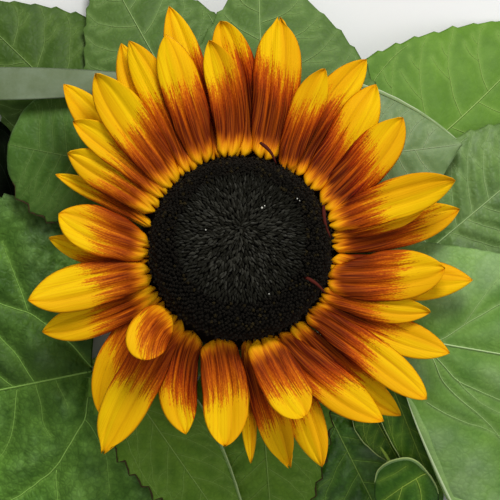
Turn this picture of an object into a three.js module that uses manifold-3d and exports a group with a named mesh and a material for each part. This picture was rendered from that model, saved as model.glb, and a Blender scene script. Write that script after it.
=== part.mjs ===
// The flowering top of a bicolour sunflower, cut with a short stem and laid down face up.
//
// Millimetres, +Z up. The bloom looks straight up, and its own right hand is +X. The neck bends
// behind the bloom so that the cut stem lies to the right on the surface below, and the leaves
// spread from the neck in levels. The origin is under the middle of the whole cut top, at the
// height of the surface that it lies on.

import * as THREE from 'three';
import { mergeVertices } from 'three/addons/utils/BufferGeometryUtils.js';
import Module from 'manifold-3d';

const wasm = await Module();
wasm.setup();

// Clear space between neighbouring pieces.
const GAP = 0.3;

// Stem: cut end, the part that lies down, the bend of the neck and the upright neck.
const STEM_RADIUS = 5.5;
const NECK_RADIUS = 5;
const STEM_REACH = 106;
const STEM_BEARING = -6;
const BEND_RADIUS = 20;
const NECK_TOP = 34;
const STEM_SIDES = 12;
const STEM_STEPS = 20;

// Flower head: the green receptacle with its bracts, and the seed disc on top of it.
const RECEPTACLE_RADIUS = 30.7;
const RECEPTACLE_FLOOR = NECK_TOP + GAP;
const RECEPTACLE_SHOULDER = 45.5;
const RECEPTACLE_TOP = 57;
const DISC_RADIUS = 31.6;
const DISC_RING_HEIGHT = 8;
const DISC_CENTRE_HEIGHT = 5.5;
const ROUND_SEGMENTS = 32;

// Half outline of the receptacle, as [radius, height]: a shallow cup that flares from the neck.
const RECEPTACLE_OUTLINE = [
  [0, RECEPTACLE_FLOOR],
  [NECK_RADIUS + 1, RECEPTACLE_FLOOR],
  [NECK_RADIUS + 5, RECEPTACLE_FLOOR + 3],
  [22, RECEPTACLE_SHOULDER - 6],
  [RECEPTACLE_RADIUS - 2, RECEPTACLE_SHOULDER - 2],
  [RECEPTACLE_RADIUS, RECEPTACLE_SHOULDER + 2],
  [RECEPTACLE_RADIUS, RECEPTACLE_TOP],
  [0, RECEPTACLE_TOP],
];

// Half outline of the seed disc, as [radius, height above its own floor]: a ring of open florets
// round a lower middle.
const DISC_OUTLINE = [
  [0, 0],
  [DISC_RADIUS, 0],
  [DISC_RADIUS, 3.6],
  [DISC_RADIUS - 2.5, 6.8],
  [DISC_RADIUS - 6, DISC_RING_HEIGHT],
  [DISC_RADIUS - 10, 7.4],
  [12, 6.3],
  [4, DISC_CENTRE_HEIGHT],
  [0, DISC_CENTRE_HEIGHT],
];

// Bracts: two whorls of pointed green scales under the petals, rooted inside the cup.
const BRACT_COUNT = 13;
const BRACT_THICKNESS = 0.9;
const BRACT_ROOT_RADIUS = RECEPTACLE_RADIUS - 4;
const BRACT_POINT_POWER = 2.4;
const BRACT_POINT_SHARE = 0.06;
const BRACT_ROWS = 4;
const BRACT_WHORLS = [
  { turn: 0, reach: 49, width: 13, height: 44.6, fall: 2.4 },
  { turn: 180 / BRACT_COUNT, reach: 44, width: 12, height: 42.2, fall: 4.4 },
];

// Petals leave the wall of the receptacle in layers. A higher layer starts higher and rises more
// steeply, so petals that cross in plan never meet.
const PETAL_BASE_RADIUS = RECEPTACLE_RADIUS + GAP;
const PETAL_THICKNESS = 0.6;
const PETAL_FIRST_HEIGHT = 49.2;
const PETAL_LAYER_STEP = 1.05;
const PETAL_FIRST_SLOPE = -0.08;
const PETAL_SLOPE_STEP = 0.07;
const PETAL_ARCH = 0.0011;
const PETAL_HANDLE = 0.45;

// A petal is narrow at its root, widest past its middle and rounds in to a point.
const PETAL_ROOT_SHARE = 0.46;
const PETAL_WIDEST = 0.58;
const PETAL_POINT_POWER = 2.2;
const PETAL_POINT_HALF_WIDTH = 0.4;
const PETAL_ROWS = 8;
const PETAL_COLUMNS = 2;

// One row a petal, clockwise from the upper left: bearing of its base and of its tip in degrees
// counter-clockwise from +X, radius of its tip, its width and its bow to its left in mm, and its
// layer. The last value, where there is one, is how steeply a short front petal stands up.
const PETALS = [
  [122.5, 118.2, 80.5, 12.4, -2, 3],
  [113, 109.2, 77.3, 14.3, 0, 4],
  [105, 106.4, 86.5, 13, 0, 0],
  [98.5, 98.6, 71.9, 12.6, -2.7, 3],
  [90.6, 95.1, 78.2, 15, -2.5, 1],
  [76, 80.4, 78.7, 16.5, -1, 2],
  [60, 64.9, 67.8, 11.6, 2, 4],
  [54, 56.4, 77.8, 13, 2.5, 1],
  [42, 50.6, 72.8, 14.6, 0, 2],
  [27, 39, 71.3, 15.6, 0, 3],
  [16, 17.7, 76.8, 14, 1, 4],
  [8, 11.8, 63.6, 6.4, 0, 1],
  [3, 10.3, 76.1, 13.4, 0, 0],
  [-9, -7.6, 80, 14.6, -1.2, 1],
  [-19, -5.3, 70, 17.4, 0, 3],
  [-28, -18.3, 68.4, 10, 0, 2],
  [-34, -26.4, 79.8, 12.6, 0, 1],
  [-43, -38.8, 81.6, 12.4, 1.5, 3],
  [-55, -46.1, 79, 12, 0, 1],
  [-67, -50.2, 76.4, 14.3, 0, 2],
  [-74, -69.5, 79.5, 12.8, 2.7, 0],
  [-78, -68.9, 61, 16, 0, 5, 0.3],
  [-83, -77.5, 75.1, 11.6, 0, 1],
  [-87, -87.2, 73.4, 5.6, 0, 0],
  [-106, -94.5, 67.5, 16, 2.7, 3],
  [-120, -106.4, 65.9, 13.2, -1.7, 1],
  [-132, -124.2, 82.8, 15.6, -1, 2],
  [-137, -131, 50, 15, -2, 6, 0.7],
  [-147, -130.6, 74.1, 12.6, -2, 0],
  [-154, -157.3, 73.4, 12.6, 1, 1],
  [-165, -166.5, 74.5, 15.8, 0, 3],
  [-174, 176.7, 65.6, 9.2, 0, 1],
  [180, 168.9, 63.1, 16.4, 0, 4],
  [166, 158, 68.2, 6.4, -2.5, 0],
  [155, 151, 67.5, 13.4, -2, 2],
  [145, 142.6, 71.9, 11.4, -2, 3],
  [141, 137, 82.6, 12.4, 0, 1],
  [136, 129.6, 77.6, 15.6, 0, 4],
  [130, 120.1, 81.2, 12, 0, 2],
];

// Leaves arch over one shared dome and fall to the surface at its edge. Each level lies higher
// than the one before, and the levels close up towards the tips.
const LEAF_THICKNESS = 1.2;
const LEAF_CAMBER = 1.1;
const LEAF_DOME_HEIGHT = 16;
const LEAF_DOME_REACH_X = 172;
const LEAF_DOME_REACH_Y = 112;
const LEAF_DOME_FLAT_SHARE = 0.42;
const LEAF_LEVEL_INNER = 4.6;
const LEAF_LEVEL_OUTER = 2.4;

// A leaf is broad just past its root, with rounded lobes behind it and a toothed edge. The first
// three hold for every leaf whose row doesn't say otherwise.
const LEAF_ROOT_SHARE = 0.62;
const LEAF_WIDEST = 0.3;
const LEAF_POINT_POWER = 1.7;
const LEAF_POINT_HALF_WIDTH = 0.5;
const LEAF_LOBE_POWER = 1.3;
const LEAF_TOOTH = 0.05;
const LEAF_ROWS = 12;
const LEAF_COLUMNS = 4;

// Petioles run from the neck to just inside the blade, rising a little as they leave it.
const PETIOLE_RADIUS = 1.9;
const PETIOLE_TIP_RADIUS = 1.3;
const PETIOLE_RISE = 2;
const PETIOLE_FIRST_SHARE = 0.35;
const PETIOLE_SECOND_SHARE = 0.75;
const PETIOLE_JOIN = 0.06;
const PETIOLE_SIDES = 6;
const PETIOLE_STEPS = 6;

// One row a leaf: where the petiole meets the blade and where the tip lies, in mm from the
// middle of the bloom, the half widths on its right and left, how far its lobes reach back there,
// the level, the height at which the petiole leaves the neck, and any bow of the midrib to its
// left. A negative lobe slants forward, where the photo shows the blade folded off, and lift
// carries a petiole over the leaves below it.
const LEAVES = [
  { name: 'top_left', base: [-38, 30], tip: [-96, 86], sides: [33, 24], lobe: [10, 6],
    level: 0, node: 15 },
  { name: 'top_second', base: [-14, 38], tip: [-49, 101], sides: [29.5, 29.5], lobe: [10, 10],
    level: 1, node: 20 },
  { name: 'top', base: [8, 30], tip: [6, 98], sides: [41, 24], lobe: [8, 8],
    level: 2, node: 26 },
  { name: 'top_right', base: [42, 18], tip: [109, 80], sides: [39, 39], lobe: [12, 12],
    level: 0, node: 14, bow: -3 },
  { name: 'right_fold', base: [18, 29], tip: [76, 36], sides: [33, 27], lobe: [4, 4],
    level: 3, node: 30 },
  { name: 'right_upper', base: [64, -1], tip: [120, 46], sides: [27, 27], lobe: [12, 12],
    level: 1, node: 19 },
  { name: 'right', base: [52, -29.5], tip: [170, -50], sides: [56, 34], lobe: [-30, 12],
    level: 4, node: 30, root: 0.95 },
  { name: 'right_strip', base: [50, -42], tip: [70, -92], sides: [8, 9], lobe: [2, 2],
    level: 2, node: 22 },
  { name: 'curl_low', base: [55, -72], tip: [61, -108], sides: [11, 11], lobe: [-7, -7],
    level: 3, node: 26, root: 0.8, lift: 3 },
  { name: 'curl_small', base: [44, -54], tip: [56, -76], sides: [8, 12], lobe: [3, 3],
    level: 1, node: 18 },
  { name: 'bottom_right', base: [24, -44], tip: [58, -112], sides: [26, 26], lobe: [3, 3],
    level: 0, node: 13 },
  { name: 'bottom', base: [6, -36], tip: [12, -110], sides: [24, 24], lobe: [6, 6],
    level: 1, node: 22 },
  { name: 'bottom_left', base: [-42, -42], tip: [5, -110], sides: [17, 17], lobe: [5, 5],
    level: 2, node: 28 },
  { name: 'lower_left', base: [-51, -42], tip: [-158, -64], sides: [66, 66], lobe: [18, 18],
    level: 0, node: 17 },
  { name: 'left', base: [-40, 28], tip: [-80, 36], sides: [26, 24], lobe: [6, 6],
    level: 2, node: 24, point: 3 },
  { name: 'left_deep', base: [-50, 12], tip: [-114, 14], sides: [32, 32], lobe: [6, 6],
    level: -1, node: 11 },
  { name: 'left_folded', base: [-36, 56], tip: [-124, 55], sides: [7, 7], lobe: [1, 1],
    level: 4, node: 30, widest: 0.55 },
];

const flower = new THREE.Group();
flower.name = 'sunflower_top';

function finish(colour, roughness) {
  return new THREE.MeshStandardMaterial({ color: colour, roughness, metalness: 0 });
}

const stemFinish = finish('#6f8a3c', 0.7);
const receptacleFinish = finish('#57793a', 0.75);
const discFinish = finish('#1d1a17', 0.85);
const petalFinish = finish('#f2bd0c', 0.55);
const leafFinish = finish('#4c7a35', 0.6);

function add(name, geometry, material) {
  const mesh = new THREE.Mesh(geometry, material.clone());
  mesh.name = name;
  flower.add(mesh);
}

// Shape helpers.

function polar(radius, bearing) {
  const angle = THREE.MathUtils.degToRad(bearing);
  return new THREE.Vector2(radius * Math.cos(angle), radius * Math.sin(angle));
}

function closedGeometry(positions, indices) {
  const geometry = new THREE.BufferGeometry();
  geometry.setAttribute('position', new THREE.Float32BufferAttribute(positions, 3));
  geometry.setIndex(indices);
  return geometry;
}

// A thin closed sheet. middle(u, v) gives its middle surface, with u from root to tip and v from
// -1 on the right-hand edge to 1 on the left-hand edge.
function sheet(rows, columns, thickness, middle) {
  const positions = [];
  const indices = [];
  const layerSize = (rows + 1) * (columns + 1);
  const top = (row, column) => row * (columns + 1) + column;
  const bottom = (row, column) => layerSize + top(row, column);
  const face = (a, b, c, d) => indices.push(a, b, c, a, c, d);
  for (const rise of [thickness / 2, -thickness / 2]) {
    for (let row = 0; row <= rows; row += 1) {
      for (let column = 0; column <= columns; column += 1) {
        const point = middle(row / rows, (2 * column) / columns - 1);
        positions.push(point.x, point.y, point.z + rise);
      }
    }
  }
  for (let row = 0; row < rows; row += 1) {
    for (let column = 0; column < columns; column += 1) {
      face(top(row, column), top(row + 1, column), top(row + 1, column + 1), top(row, column + 1));
      face(
        bottom(row, column),
        bottom(row, column + 1),
        bottom(row + 1, column + 1),
        bottom(row + 1, column),
      );
    }
    face(bottom(row, 0), bottom(row + 1, 0), top(row + 1, 0), top(row, 0));
    face(top(row, columns), top(row + 1, columns), bottom(row + 1, columns), bottom(row, columns));
  }
  for (let column = 0; column < columns; column += 1) {
    face(top(0, column), top(0, column + 1), bottom(0, column + 1), bottom(0, column));
    face(bottom(rows, column), bottom(rows, column + 1), top(rows, column + 1), top(rows, column));
  }
  return closedGeometry(positions, indices);
}

// A closed tube along a curve, with flat ends and a radius that follows radiusAt(t).
function taperedTube(curve, radiusAt, sides, steps) {
  const frames = curve.computeFrenetFrames(steps, false);
  const positions = [];
  const indices = [];
  for (let step = 0; step <= steps; step += 1) {
    const centre = curve.getPointAt(step / steps);
    const radius = radiusAt(step / steps);
    for (let side = 0; side < sides; side += 1) {
      const angle = (2 * Math.PI * side) / sides;
      const point = centre
        .clone()
        .addScaledVector(frames.normals[step], radius * Math.cos(angle))
        .addScaledVector(frames.binormals[step], radius * Math.sin(angle));
      positions.push(point.x, point.y, point.z);
    }
  }
  for (let step = 0; step < steps; step += 1) {
    for (let side = 0; side < sides; side += 1) {
      const next = (side + 1) % sides;
      const near = step * sides;
      const far = near + sides;
      indices.push(near + side, near + next, far + next);
      indices.push(near + side, far + next, far + side);
    }
  }
  const last = steps * sides;
  for (let side = 1; side < sides - 1; side += 1) {
    indices.push(0, side + 1, side);
    indices.push(last, last + side, last + side + 1);
  }
  return closedGeometry(positions, indices);
}

function toSolid(geometry) {
  const bare = geometry.clone();
  bare.deleteAttribute('normal');
  bare.deleteAttribute('uv');
  const merged = mergeVertices(bare);
  return new wasm.Manifold(
    new wasm.Mesh({
      numProp: 3,
      vertProperties: Float32Array.from(merged.attributes.position.array),
      triVerts: Uint32Array.from(merged.index.array),
    }),
  );
}

function toGeometry(solid) {
  const mesh = solid.getMesh();
  return closedGeometry(Array.from(mesh.vertProperties), Array.from(mesh.triVerts));
}

// Stem: along the surface from its cut end, then up through the bend into the neck.

const stemOut = polar(1, STEM_BEARING);
const onStemLine = (out, height) => new THREE.Vector3(stemOut.x * out, stemOut.y * out, height);
const bendTop = STEM_RADIUS + BEND_RADIUS;
const stemPath = new THREE.CurvePath();
stemPath.add(
  new THREE.LineCurve3(onStemLine(STEM_REACH, STEM_RADIUS), onStemLine(BEND_RADIUS, STEM_RADIUS)),
);
stemPath.add(
  new THREE.QuadraticBezierCurve3(
    onStemLine(BEND_RADIUS, STEM_RADIUS),
    onStemLine(0, STEM_RADIUS),
    onStemLine(0, bendTop),
  ),
);
stemPath.add(new THREE.LineCurve3(onStemLine(0, bendTop), onStemLine(0, NECK_TOP)));

// The middle of the neck at a height.
function neckPoint(height) {
  const t = Math.min(1, Math.sqrt((height - STEM_RADIUS) / BEND_RADIUS));
  return onStemLine(BEND_RADIUS * (1 - t) ** 2, height);
}

const stemRadiusAt = (t) => THREE.MathUtils.lerp(STEM_RADIUS, NECK_RADIUS, t);
add('stem', taperedTube(stemPath, stemRadiusAt, STEM_SIDES, STEM_STEPS), stemFinish);

const stemClearance = toSolid(
  taperedTube(stemPath, (t) => stemRadiusAt(t) + GAP, STEM_SIDES, STEM_STEPS),
);

// Receptacle: the cup, with the bracts growing out under its shoulder.

// A round body turned from a half outline, with its axis along +Z.
function turned(outline, floor) {
  const profile = outline.map(([radius, height]) => new THREE.Vector2(radius, floor + height));
  return new THREE.LatheGeometry(profile, ROUND_SEGMENTS).rotateX(Math.PI / 2);
}

function bract(whorl, index) {
  const bearing = whorl.turn + (360 * index) / BRACT_COUNT;
  const outward = polar(1, bearing);
  const sideways = polar(1, bearing + 90);
  return sheet(BRACT_ROWS, 2, BRACT_THICKNESS, (u, v) => {
    const radius = THREE.MathUtils.lerp(BRACT_ROOT_RADIUS, whorl.reach, u);
    const halfWidth = (whorl.width / 2) * Math.max(BRACT_POINT_SHARE, 1 - u ** BRACT_POINT_POWER);
    const place = outward.clone().multiplyScalar(radius).addScaledVector(sideways, v * halfWidth);
    return new THREE.Vector3(place.x, place.y, whorl.height - whorl.fall * u * u);
  });
}

let receptacle = toSolid(turned(RECEPTACLE_OUTLINE, 0));
for (const whorl of BRACT_WHORLS) {
  for (let index = 0; index < BRACT_COUNT; index += 1) {
    receptacle = receptacle.add(toSolid(bract(whorl, index)));
  }
}
add('receptacle', toGeometry(receptacle), receptacleFinish);

add('seed_disc', turned(DISC_OUTLINE, RECEPTACLE_TOP + GAP), discFinish);

// Petals.

function petalHeight(radius, layer, stand) {
  const out = radius - PETAL_BASE_RADIUS;
  const slope = PETAL_FIRST_SLOPE + PETAL_SLOPE_STEP * layer + stand;
  return PETAL_FIRST_HEIGHT + PETAL_LAYER_STEP * layer + slope * out - PETAL_ARCH * out * out;
}

// Share of the full width at u: it swells from rootShare to 1 at widest, then closes to 0.
function widthShare(u, rootShare, widest, pointPower) {
  if (u < widest) {
    return rootShare + (1 - rootShare) * Math.sin((Math.PI / 2) * (u / widest));
  }
  return 1 - ((u - widest) / (1 - widest)) ** pointPower;
}

function petalHalfWidth(u, width) {
  const share = widthShare(u, PETAL_ROOT_SHARE, PETAL_WIDEST, PETAL_POINT_POWER);
  return Math.max(PETAL_POINT_HALF_WIDTH, (width / 2) * share);
}

function petal([baseBearing, tipBearing, tipRadius, width, bow, layer, stand = 0]) {
  const root = polar(PETAL_BASE_RADIUS, baseBearing);
  const tip = polar(tipRadius, tipBearing);
  const straight = tip.clone().sub(root);
  const outward = polar(straight.length(), baseBearing);
  const left = new THREE.Vector2(-straight.y, straight.x).normalize();
  const handle = root
    .clone()
    .addScaledVector(straight.clone().add(outward), PETAL_HANDLE / 2)
    .addScaledVector(left, 2 * bow);
  const spine = new THREE.QuadraticBezierCurve(root, handle, tip);
  return sheet(PETAL_ROWS, PETAL_COLUMNS, PETAL_THICKNESS, (u, v) => {
    const halfWidth = petalHalfWidth(u, width);
    if (u === 0) {
      const spread = THREE.MathUtils.radToDeg((v * halfWidth) / PETAL_BASE_RADIUS);
      const start = polar(PETAL_BASE_RADIUS, baseBearing + spread);
      return new THREE.Vector3(start.x, start.y, petalHeight(PETAL_BASE_RADIUS, layer, stand));
    }
    const place = spine.getPoint(u);
    const along = spine.getTangent(u);
    place.x -= along.y * v * halfWidth;
    place.y += along.x * v * halfWidth;
    return new THREE.Vector3(place.x, place.y, petalHeight(place.length(), layer, stand));
  });
}

PETALS.forEach((sizes, index) => {
  add(`petal_${String(index + 1).padStart(2, '0')}`, petal(sizes), petalFinish);
});

// Leaves.

// Height of the middle of a blade at its midrib. Its edges lie one camber lower, so an outer
// edge of the lowest level lies on the surface.
function leafHeight(x, y, level) {
  const reach = Math.hypot(x / LEAF_DOME_REACH_X, y / LEAF_DOME_REACH_Y);
  const fall = THREE.MathUtils.smoothstep(reach, LEAF_DOME_FLAT_SHARE, 1);
  const step = THREE.MathUtils.lerp(LEAF_LEVEL_INNER, LEAF_LEVEL_OUTER, fall);
  return LEAF_THICKNESS / 2 + LEAF_CAMBER + LEAF_DOME_HEIGHT * (1 - fall) + step * level;
}

function leaf({
  base,
  tip: end,
  sides,
  lobe,
  level,
  node,
  bow = 0,
  lift = 0,
  root: rootShare = LEAF_ROOT_SHARE,
  widest = LEAF_WIDEST,
  point = LEAF_POINT_POWER,
}) {
  const root = new THREE.Vector2(...base);
  const tip = new THREE.Vector2(...end);
  const along = tip.clone().sub(root).normalize();
  const left = new THREE.Vector2(-along.y, along.x);
  const handle = root.clone().lerp(tip, 0.5).addScaledVector(left, 2 * bow);
  const midrib = new THREE.QuadraticBezierCurve(root, handle, tip);
  const blade = sheet(LEAF_ROWS, LEAF_COLUMNS, LEAF_THICKNESS, (u, v) => {
    const side = v < 0 ? 0 : 1;
    const tooth = 1 + LEAF_TOOTH * Math.cos(Math.PI * LEAF_ROWS * u);
    const halfWidth = sides[side] * widthShare(u, rootShare, widest, point) * tooth;
    const back = lobe[side] * Math.abs(v) ** LEAF_LOBE_POWER * (1 - u) ** 2;
    const place = midrib.getPoint(u);
    place.addScaledVector(left, v * Math.max(LEAF_POINT_HALF_WIDTH, halfWidth));
    place.addScaledVector(along, -back);
    const height = leafHeight(place.x, place.y, level) - LEAF_CAMBER * v * v;
    return new THREE.Vector3(place.x, place.y, height);
  });

  const join = midrib.getPoint(PETIOLE_JOIN);
  const first = root.clone().multiplyScalar(PETIOLE_FIRST_SHARE);
  const second = root.clone().multiplyScalar(PETIOLE_SECOND_SHARE);
  const petioleLine = new THREE.CubicBezierCurve3(
    neckPoint(node),
    new THREE.Vector3(first.x, first.y, node + PETIOLE_RISE),
    new THREE.Vector3(second.x, second.y, leafHeight(root.x, root.y, level) + lift),
    new THREE.Vector3(join.x, join.y, leafHeight(join.x, join.y, level)),
  );
  const petioleRadiusAt = (t) => THREE.MathUtils.lerp(PETIOLE_RADIUS, PETIOLE_TIP_RADIUS, t);
  const petiole = taperedTube(petioleLine, petioleRadiusAt, PETIOLE_SIDES, PETIOLE_STEPS);
  return toGeometry(toSolid(blade).add(toSolid(petiole)).subtract(stemClearance));
}

for (const sizes of LEAVES) {
  add(`leaf_${sizes.name}`, leaf(sizes), leafFinish);
}

// Stand the whole on the surface, with the origin under its middle.

const extent = new THREE.Box3().setFromObject(flower);
const middle = extent.getCenter(new THREE.Vector3());
flower.position.set(-middle.x, -middle.y, -extent.min.z);

export default flower;
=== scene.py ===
"""Dresses the cut top of a bicolour sunflower: petals, leaves, seed disc, bracts and stem."""

import math
from functools import partial

import bpy
import numpy as np
from bpy.props import FloatProperty, FloatVectorProperty, IntProperty, PointerProperty
from mathutils import Matrix, Vector, noise


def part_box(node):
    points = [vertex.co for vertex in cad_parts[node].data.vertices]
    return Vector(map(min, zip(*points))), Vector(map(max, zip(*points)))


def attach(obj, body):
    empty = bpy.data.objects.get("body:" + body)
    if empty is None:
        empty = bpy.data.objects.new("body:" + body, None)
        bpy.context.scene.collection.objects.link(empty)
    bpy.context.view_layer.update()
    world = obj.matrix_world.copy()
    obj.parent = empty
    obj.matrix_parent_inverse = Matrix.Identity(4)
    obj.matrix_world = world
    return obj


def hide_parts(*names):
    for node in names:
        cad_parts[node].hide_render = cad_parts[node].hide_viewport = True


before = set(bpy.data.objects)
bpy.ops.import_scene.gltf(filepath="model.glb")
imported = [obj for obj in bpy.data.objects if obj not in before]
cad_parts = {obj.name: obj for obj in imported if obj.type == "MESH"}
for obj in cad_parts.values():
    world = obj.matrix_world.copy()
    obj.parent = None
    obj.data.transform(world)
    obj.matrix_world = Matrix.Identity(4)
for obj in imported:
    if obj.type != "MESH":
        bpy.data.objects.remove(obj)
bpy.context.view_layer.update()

bl_info = {
    "name": "Sunflower top",
    "version": (1, 0, 0),
    "blender": (4, 5, 0),
    "location": "View3D > Sidebar > Sunflower",
    "description": "Makes the petals, leaves, seed disc and stem of a cut sunflower top",
    "category": "Object",
}

# Lengths below are millimetres, and this turns them to metres.
MM = 0.001
BODY = "root"

# The middle of the bloom, from the seed disc's place in the frame.
DISC_LOW, DISC_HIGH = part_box("seed_disc")
CENTRE_X = (DISC_LOW.x + DISC_HIGH.x) / 2 / MM
CENTRE_Y = (DISC_LOW.y + DISC_HIGH.y) / 2 / MM
DISC_FLOOR = DISC_LOW.z / MM

# Stem, neck and receptacle, as in the frame.
STEM_RADIUS = 5.5
NECK_RADIUS = 5.0
STEM_REACH = 106.0
STEM_SIDES = 40
STEM_BEARING = -6.0
BEND_RADIUS = 20.0
NECK_TOP = 34.0
RECEPTACLE_RADIUS = 30.7
RECEPTACLE_SHOULDER = 45.5
# On the stem's cut face, the rings of pith, wood and rind end at these shares of its radius, and
# each lies this deep.
STEM_CUT_SHARES = (0.62, 0.86, 0.96, 1.0)
STEM_CUT_DEPTHS = (0, 0.02, 0.05, 0.3)
# Outlines of turned bodies, as radius and height. The cushion's heights are above the disc's floor.
RECEPTACLE_OUTLINE = [
    (0, 34.3), (6, 34.3), (8.5, 35.6), (13, 37.4), (22, 39.5), (26.5, 41.9), (29.5, 44.5),
    (30.7, 47.5), (30.7, 56.5), (29.9, 57), (0, 57),
]
CHAFF_OUTLINE = [(0, 46.4), (33.9, 46.4), (34.5, 46.8), (33.9, 47.2), (0, 47.2)]
CUSHION_OUTLINE = [(0, 0), (29.6, 0), (29.8, 0.8), (28.2, 2.6), (25.6, 4.2), (21.6, 4.8), (12, 4.0),
                   (4, 3.4), (0, 3.4)]
TURNED_SEGMENTS = 96
# Two whorls of bracts: bearing of the first, reach, width, height and how far the tips droop.
BRACT_COUNT = 13
BRACT_WHORLS = ((0, 49, 13, 44.6, 2.4), (180 / 13, 44, 12, 42.2, 4.4))
BRACT_ROOT_RADIUS = RECEPTACLE_RADIUS - 4
BRACT_THICKNESS = 0.8

# Petals, as in the frame.
PETAL_BASE_RADIUS = 31.0
PETAL_FIRST_HEIGHT = 49.2
PETAL_LAYER_STEP = 1.05
PETAL_FIRST_SLOPE = -0.08
PETAL_SLOPE_STEP = 0.07
PETAL_ARCH = 0.0011
PETAL_HANDLE = 0.45

# One row a petal, clockwise from the upper left: bearings of base and tip in degrees, radius of
# the tip, width, bow, layer, radius at which its dark band ends, how dark that band is, and how
# steeply a short front petal stands up.
PETALS = [
    (122.5, 118.2, 80.5, 12.4, -2, 3, 56, 0.70, 0),
    (113, 109.2, 77.3, 14.3, 0, 4, 56, 0.80, 0),
    (105, 106.4, 86.5, 13, 0, 0, 66, 0.85, 0),
    (98.5, 98.6, 71.9, 12.6, -2.7, 3, 56, 0.80, 0),
    (90.6, 95.1, 78.2, 15, -2.5, 1, 65, 1.00, 0),
    (76, 80.4, 78.7, 16.5, -1, 2, 60, 0.90, 0),
    (60, 64.9, 67.8, 11.6, 2, 4, 51, 0.90, 0),
    (54, 56.4, 77.8, 13, 2.5, 1, 58, 0.95, 0),
    (42, 50.6, 72.8, 14.6, 0, 2, 51, 0.95, 0),
    (27, 39, 71.3, 15.6, 0, 3, 53, 1.00, 0),
    (16, 17.7, 76.8, 14, 1, 4, 48, 0.75, 0),
    (8, 11.8, 63.6, 6.4, 0, 1, 48, 0.75, 0),
    (3, 10.3, 76.1, 13.4, 0, 0, 61, 0.70, 0),
    (-9, -7.6, 80, 14.6, -1.2, 1, 54, 0.60, 0),
    (-19, -5.3, 70, 17.4, 0, 3, 53, 0.75, 0),
    (-28, -18.3, 68.4, 10, 0, 2, 49, 0.60, 0),
    (-34, -26.4, 79.8, 12.6, 0, 1, 57, 0.80, 0),
    (-43, -38.8, 81.6, 12.4, 1.5, 3, 55, 0.85, 0),
    (-55, -46.1, 79, 12, 0, 1, 58, 0.90, 0),
    (-67, -50.2, 76.4, 14.3, 0, 2, 55, 0.90, 0),
    (-74, -69.5, 79.5, 12.8, 2.7, 0, 58, 0.90, 0),
    (-78, -68.9, 61, 16, 0, 5, 49, 0.75, 0.3),
    (-83, -77.5, 75.1, 11.6, 0, 1, 58, 0.80, 0),
    (-87, -87.2, 73.4, 5.6, 0, 0, 54, 0.60, 0),
    (-106, -94.5, 67.5, 16, 2.7, 3, 49, 0.60, 0),
    (-120, -106.4, 65.9, 13.2, -1.7, 1, 54, 0.90, 0),
    (-132, -124.2, 82.8, 15.6, -1, 2, 57, 0.70, 0),
    (-137, -131, 50, 15, -2, 6, 46.5, 0.55, 0.7),
    (-147, -130.6, 74.1, 12.6, -2, 0, 56, 0.55, 0),
    (-154, -157.3, 73.4, 12.6, 1, 1, 53, 0.60, 0),
    (-165, -166.5, 74.5, 15.8, 0, 3, 49, 0.50, 0),
    (-174, 176.7, 65.6, 9.2, 0, 1, 51, 0.50, 0),
    (180, 168.9, 63.1, 16.4, 0, 4, 49, 0.45, 0),
    (166, 158, 68.2, 6.4, -2.5, 0, 51, 0.40, 0),
    (155, 151, 67.5, 13.4, -2, 2, 49, 0.45, 0),
    (145, 142.6, 71.9, 11.4, -2, 3, 51, 0.45, 0),
    (141, 137, 82.6, 12.4, 0, 1, 51, 0.50, 0),
    (136, 129.6, 77.6, 15.6, 0, 4, 53, 0.60, 0),
    (130, 120.1, 81.2, 12, 0, 2, 56, 0.65, 0),
]
NOTCHED_PETALS = (6, 23, 27)
CURLED_PETAL = 28
# How blunt a petal's tip is: 1 is a plain point, and less is rounder. The last holds for the rest.
TIP_BLUNTNESS = {5: 0.66, 6: 0.74, 15: 0.72, 18: 0.72, 22: 0.6, 25: 0.72, 28: 0.55, 33: 0.74}
TIP_BLUNTNESS_ELSE = 0.86
# Width of a petal's root as a share of its widest. The last holds for the rest.
ROOT_SHARES = {22: 0.6, 25: 0.74, 26: 0.62, 28: 0.7}
ROOT_SHARE_ELSE = 0.46
# Petals whose root is one round arch with a dimple, where the others have two knuckles.
ARCHED_PETALS = (25, 26, 28)
PETAL_ROWS = 52
PETAL_COLUMNS = 25
PETAL_ROW_POWER = 1.15
PETAL_WIDEST = 0.6
NARROW_PETAL = 8
ARCHED_ROOT_STEP = 0.9
# How full a notched tip is, and how deep its notch.
NOTCHED_POINT = 3.2
NOTCH_DEPTH = 1.6
# The curled petal bends down more and more from here on, in mm past its root.
CURL_START = 8
CURL_DOWN = 0.02
# Knuckles at a petal's root, and the grooves between them: size, and the length they fade over.
KNUCKLE_HEIGHT = 4.2
KNUCKLE_LENGTH = 7.5
GROOVE_DEPTH = 2.0
GROOVE_LENGTH = 5.0
# Small unevenness of a petal: how far, and over what length.
EDGE_WANDER = 0.45
EDGE_WANDER_SIZE = 8.0
RIPPLE_HEIGHT = 0.3
RIPPLE_SIZE = 7.0
# What differs from petal to petal by chance, between two limits: where it starts, how full its
# tip is, how far its creases lie to one side and how deep they are, the cup, twist and curl of its
# outer part, the height of its keel, how dark the painted shade in a crease is, how far out the
# crests lie, how warm its yellow is, and how the band ends: aslant, further out on the crests, and
# at its golden root.
PETAL_CHANCES = {
    "root": (-0.4, 0.4), "point": (2.3, 2.8), "shift": (-0.08, 0.08), "crease": (0.7, 1.3),
    "cup": (-0.4, 1.3), "twist": (-1.5, 1.5), "curl": (-1.6, 1.6), "keel": (0.5, 1.3),
    "line": (0.1, 1.0), "crest": (0.26, 0.36), "lean": (-0.15, 0.15), "slant": (-4.0, 4.0),
    "streak": (4.0, 9.0), "gold": (-1.5, 2.5),
}

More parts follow.
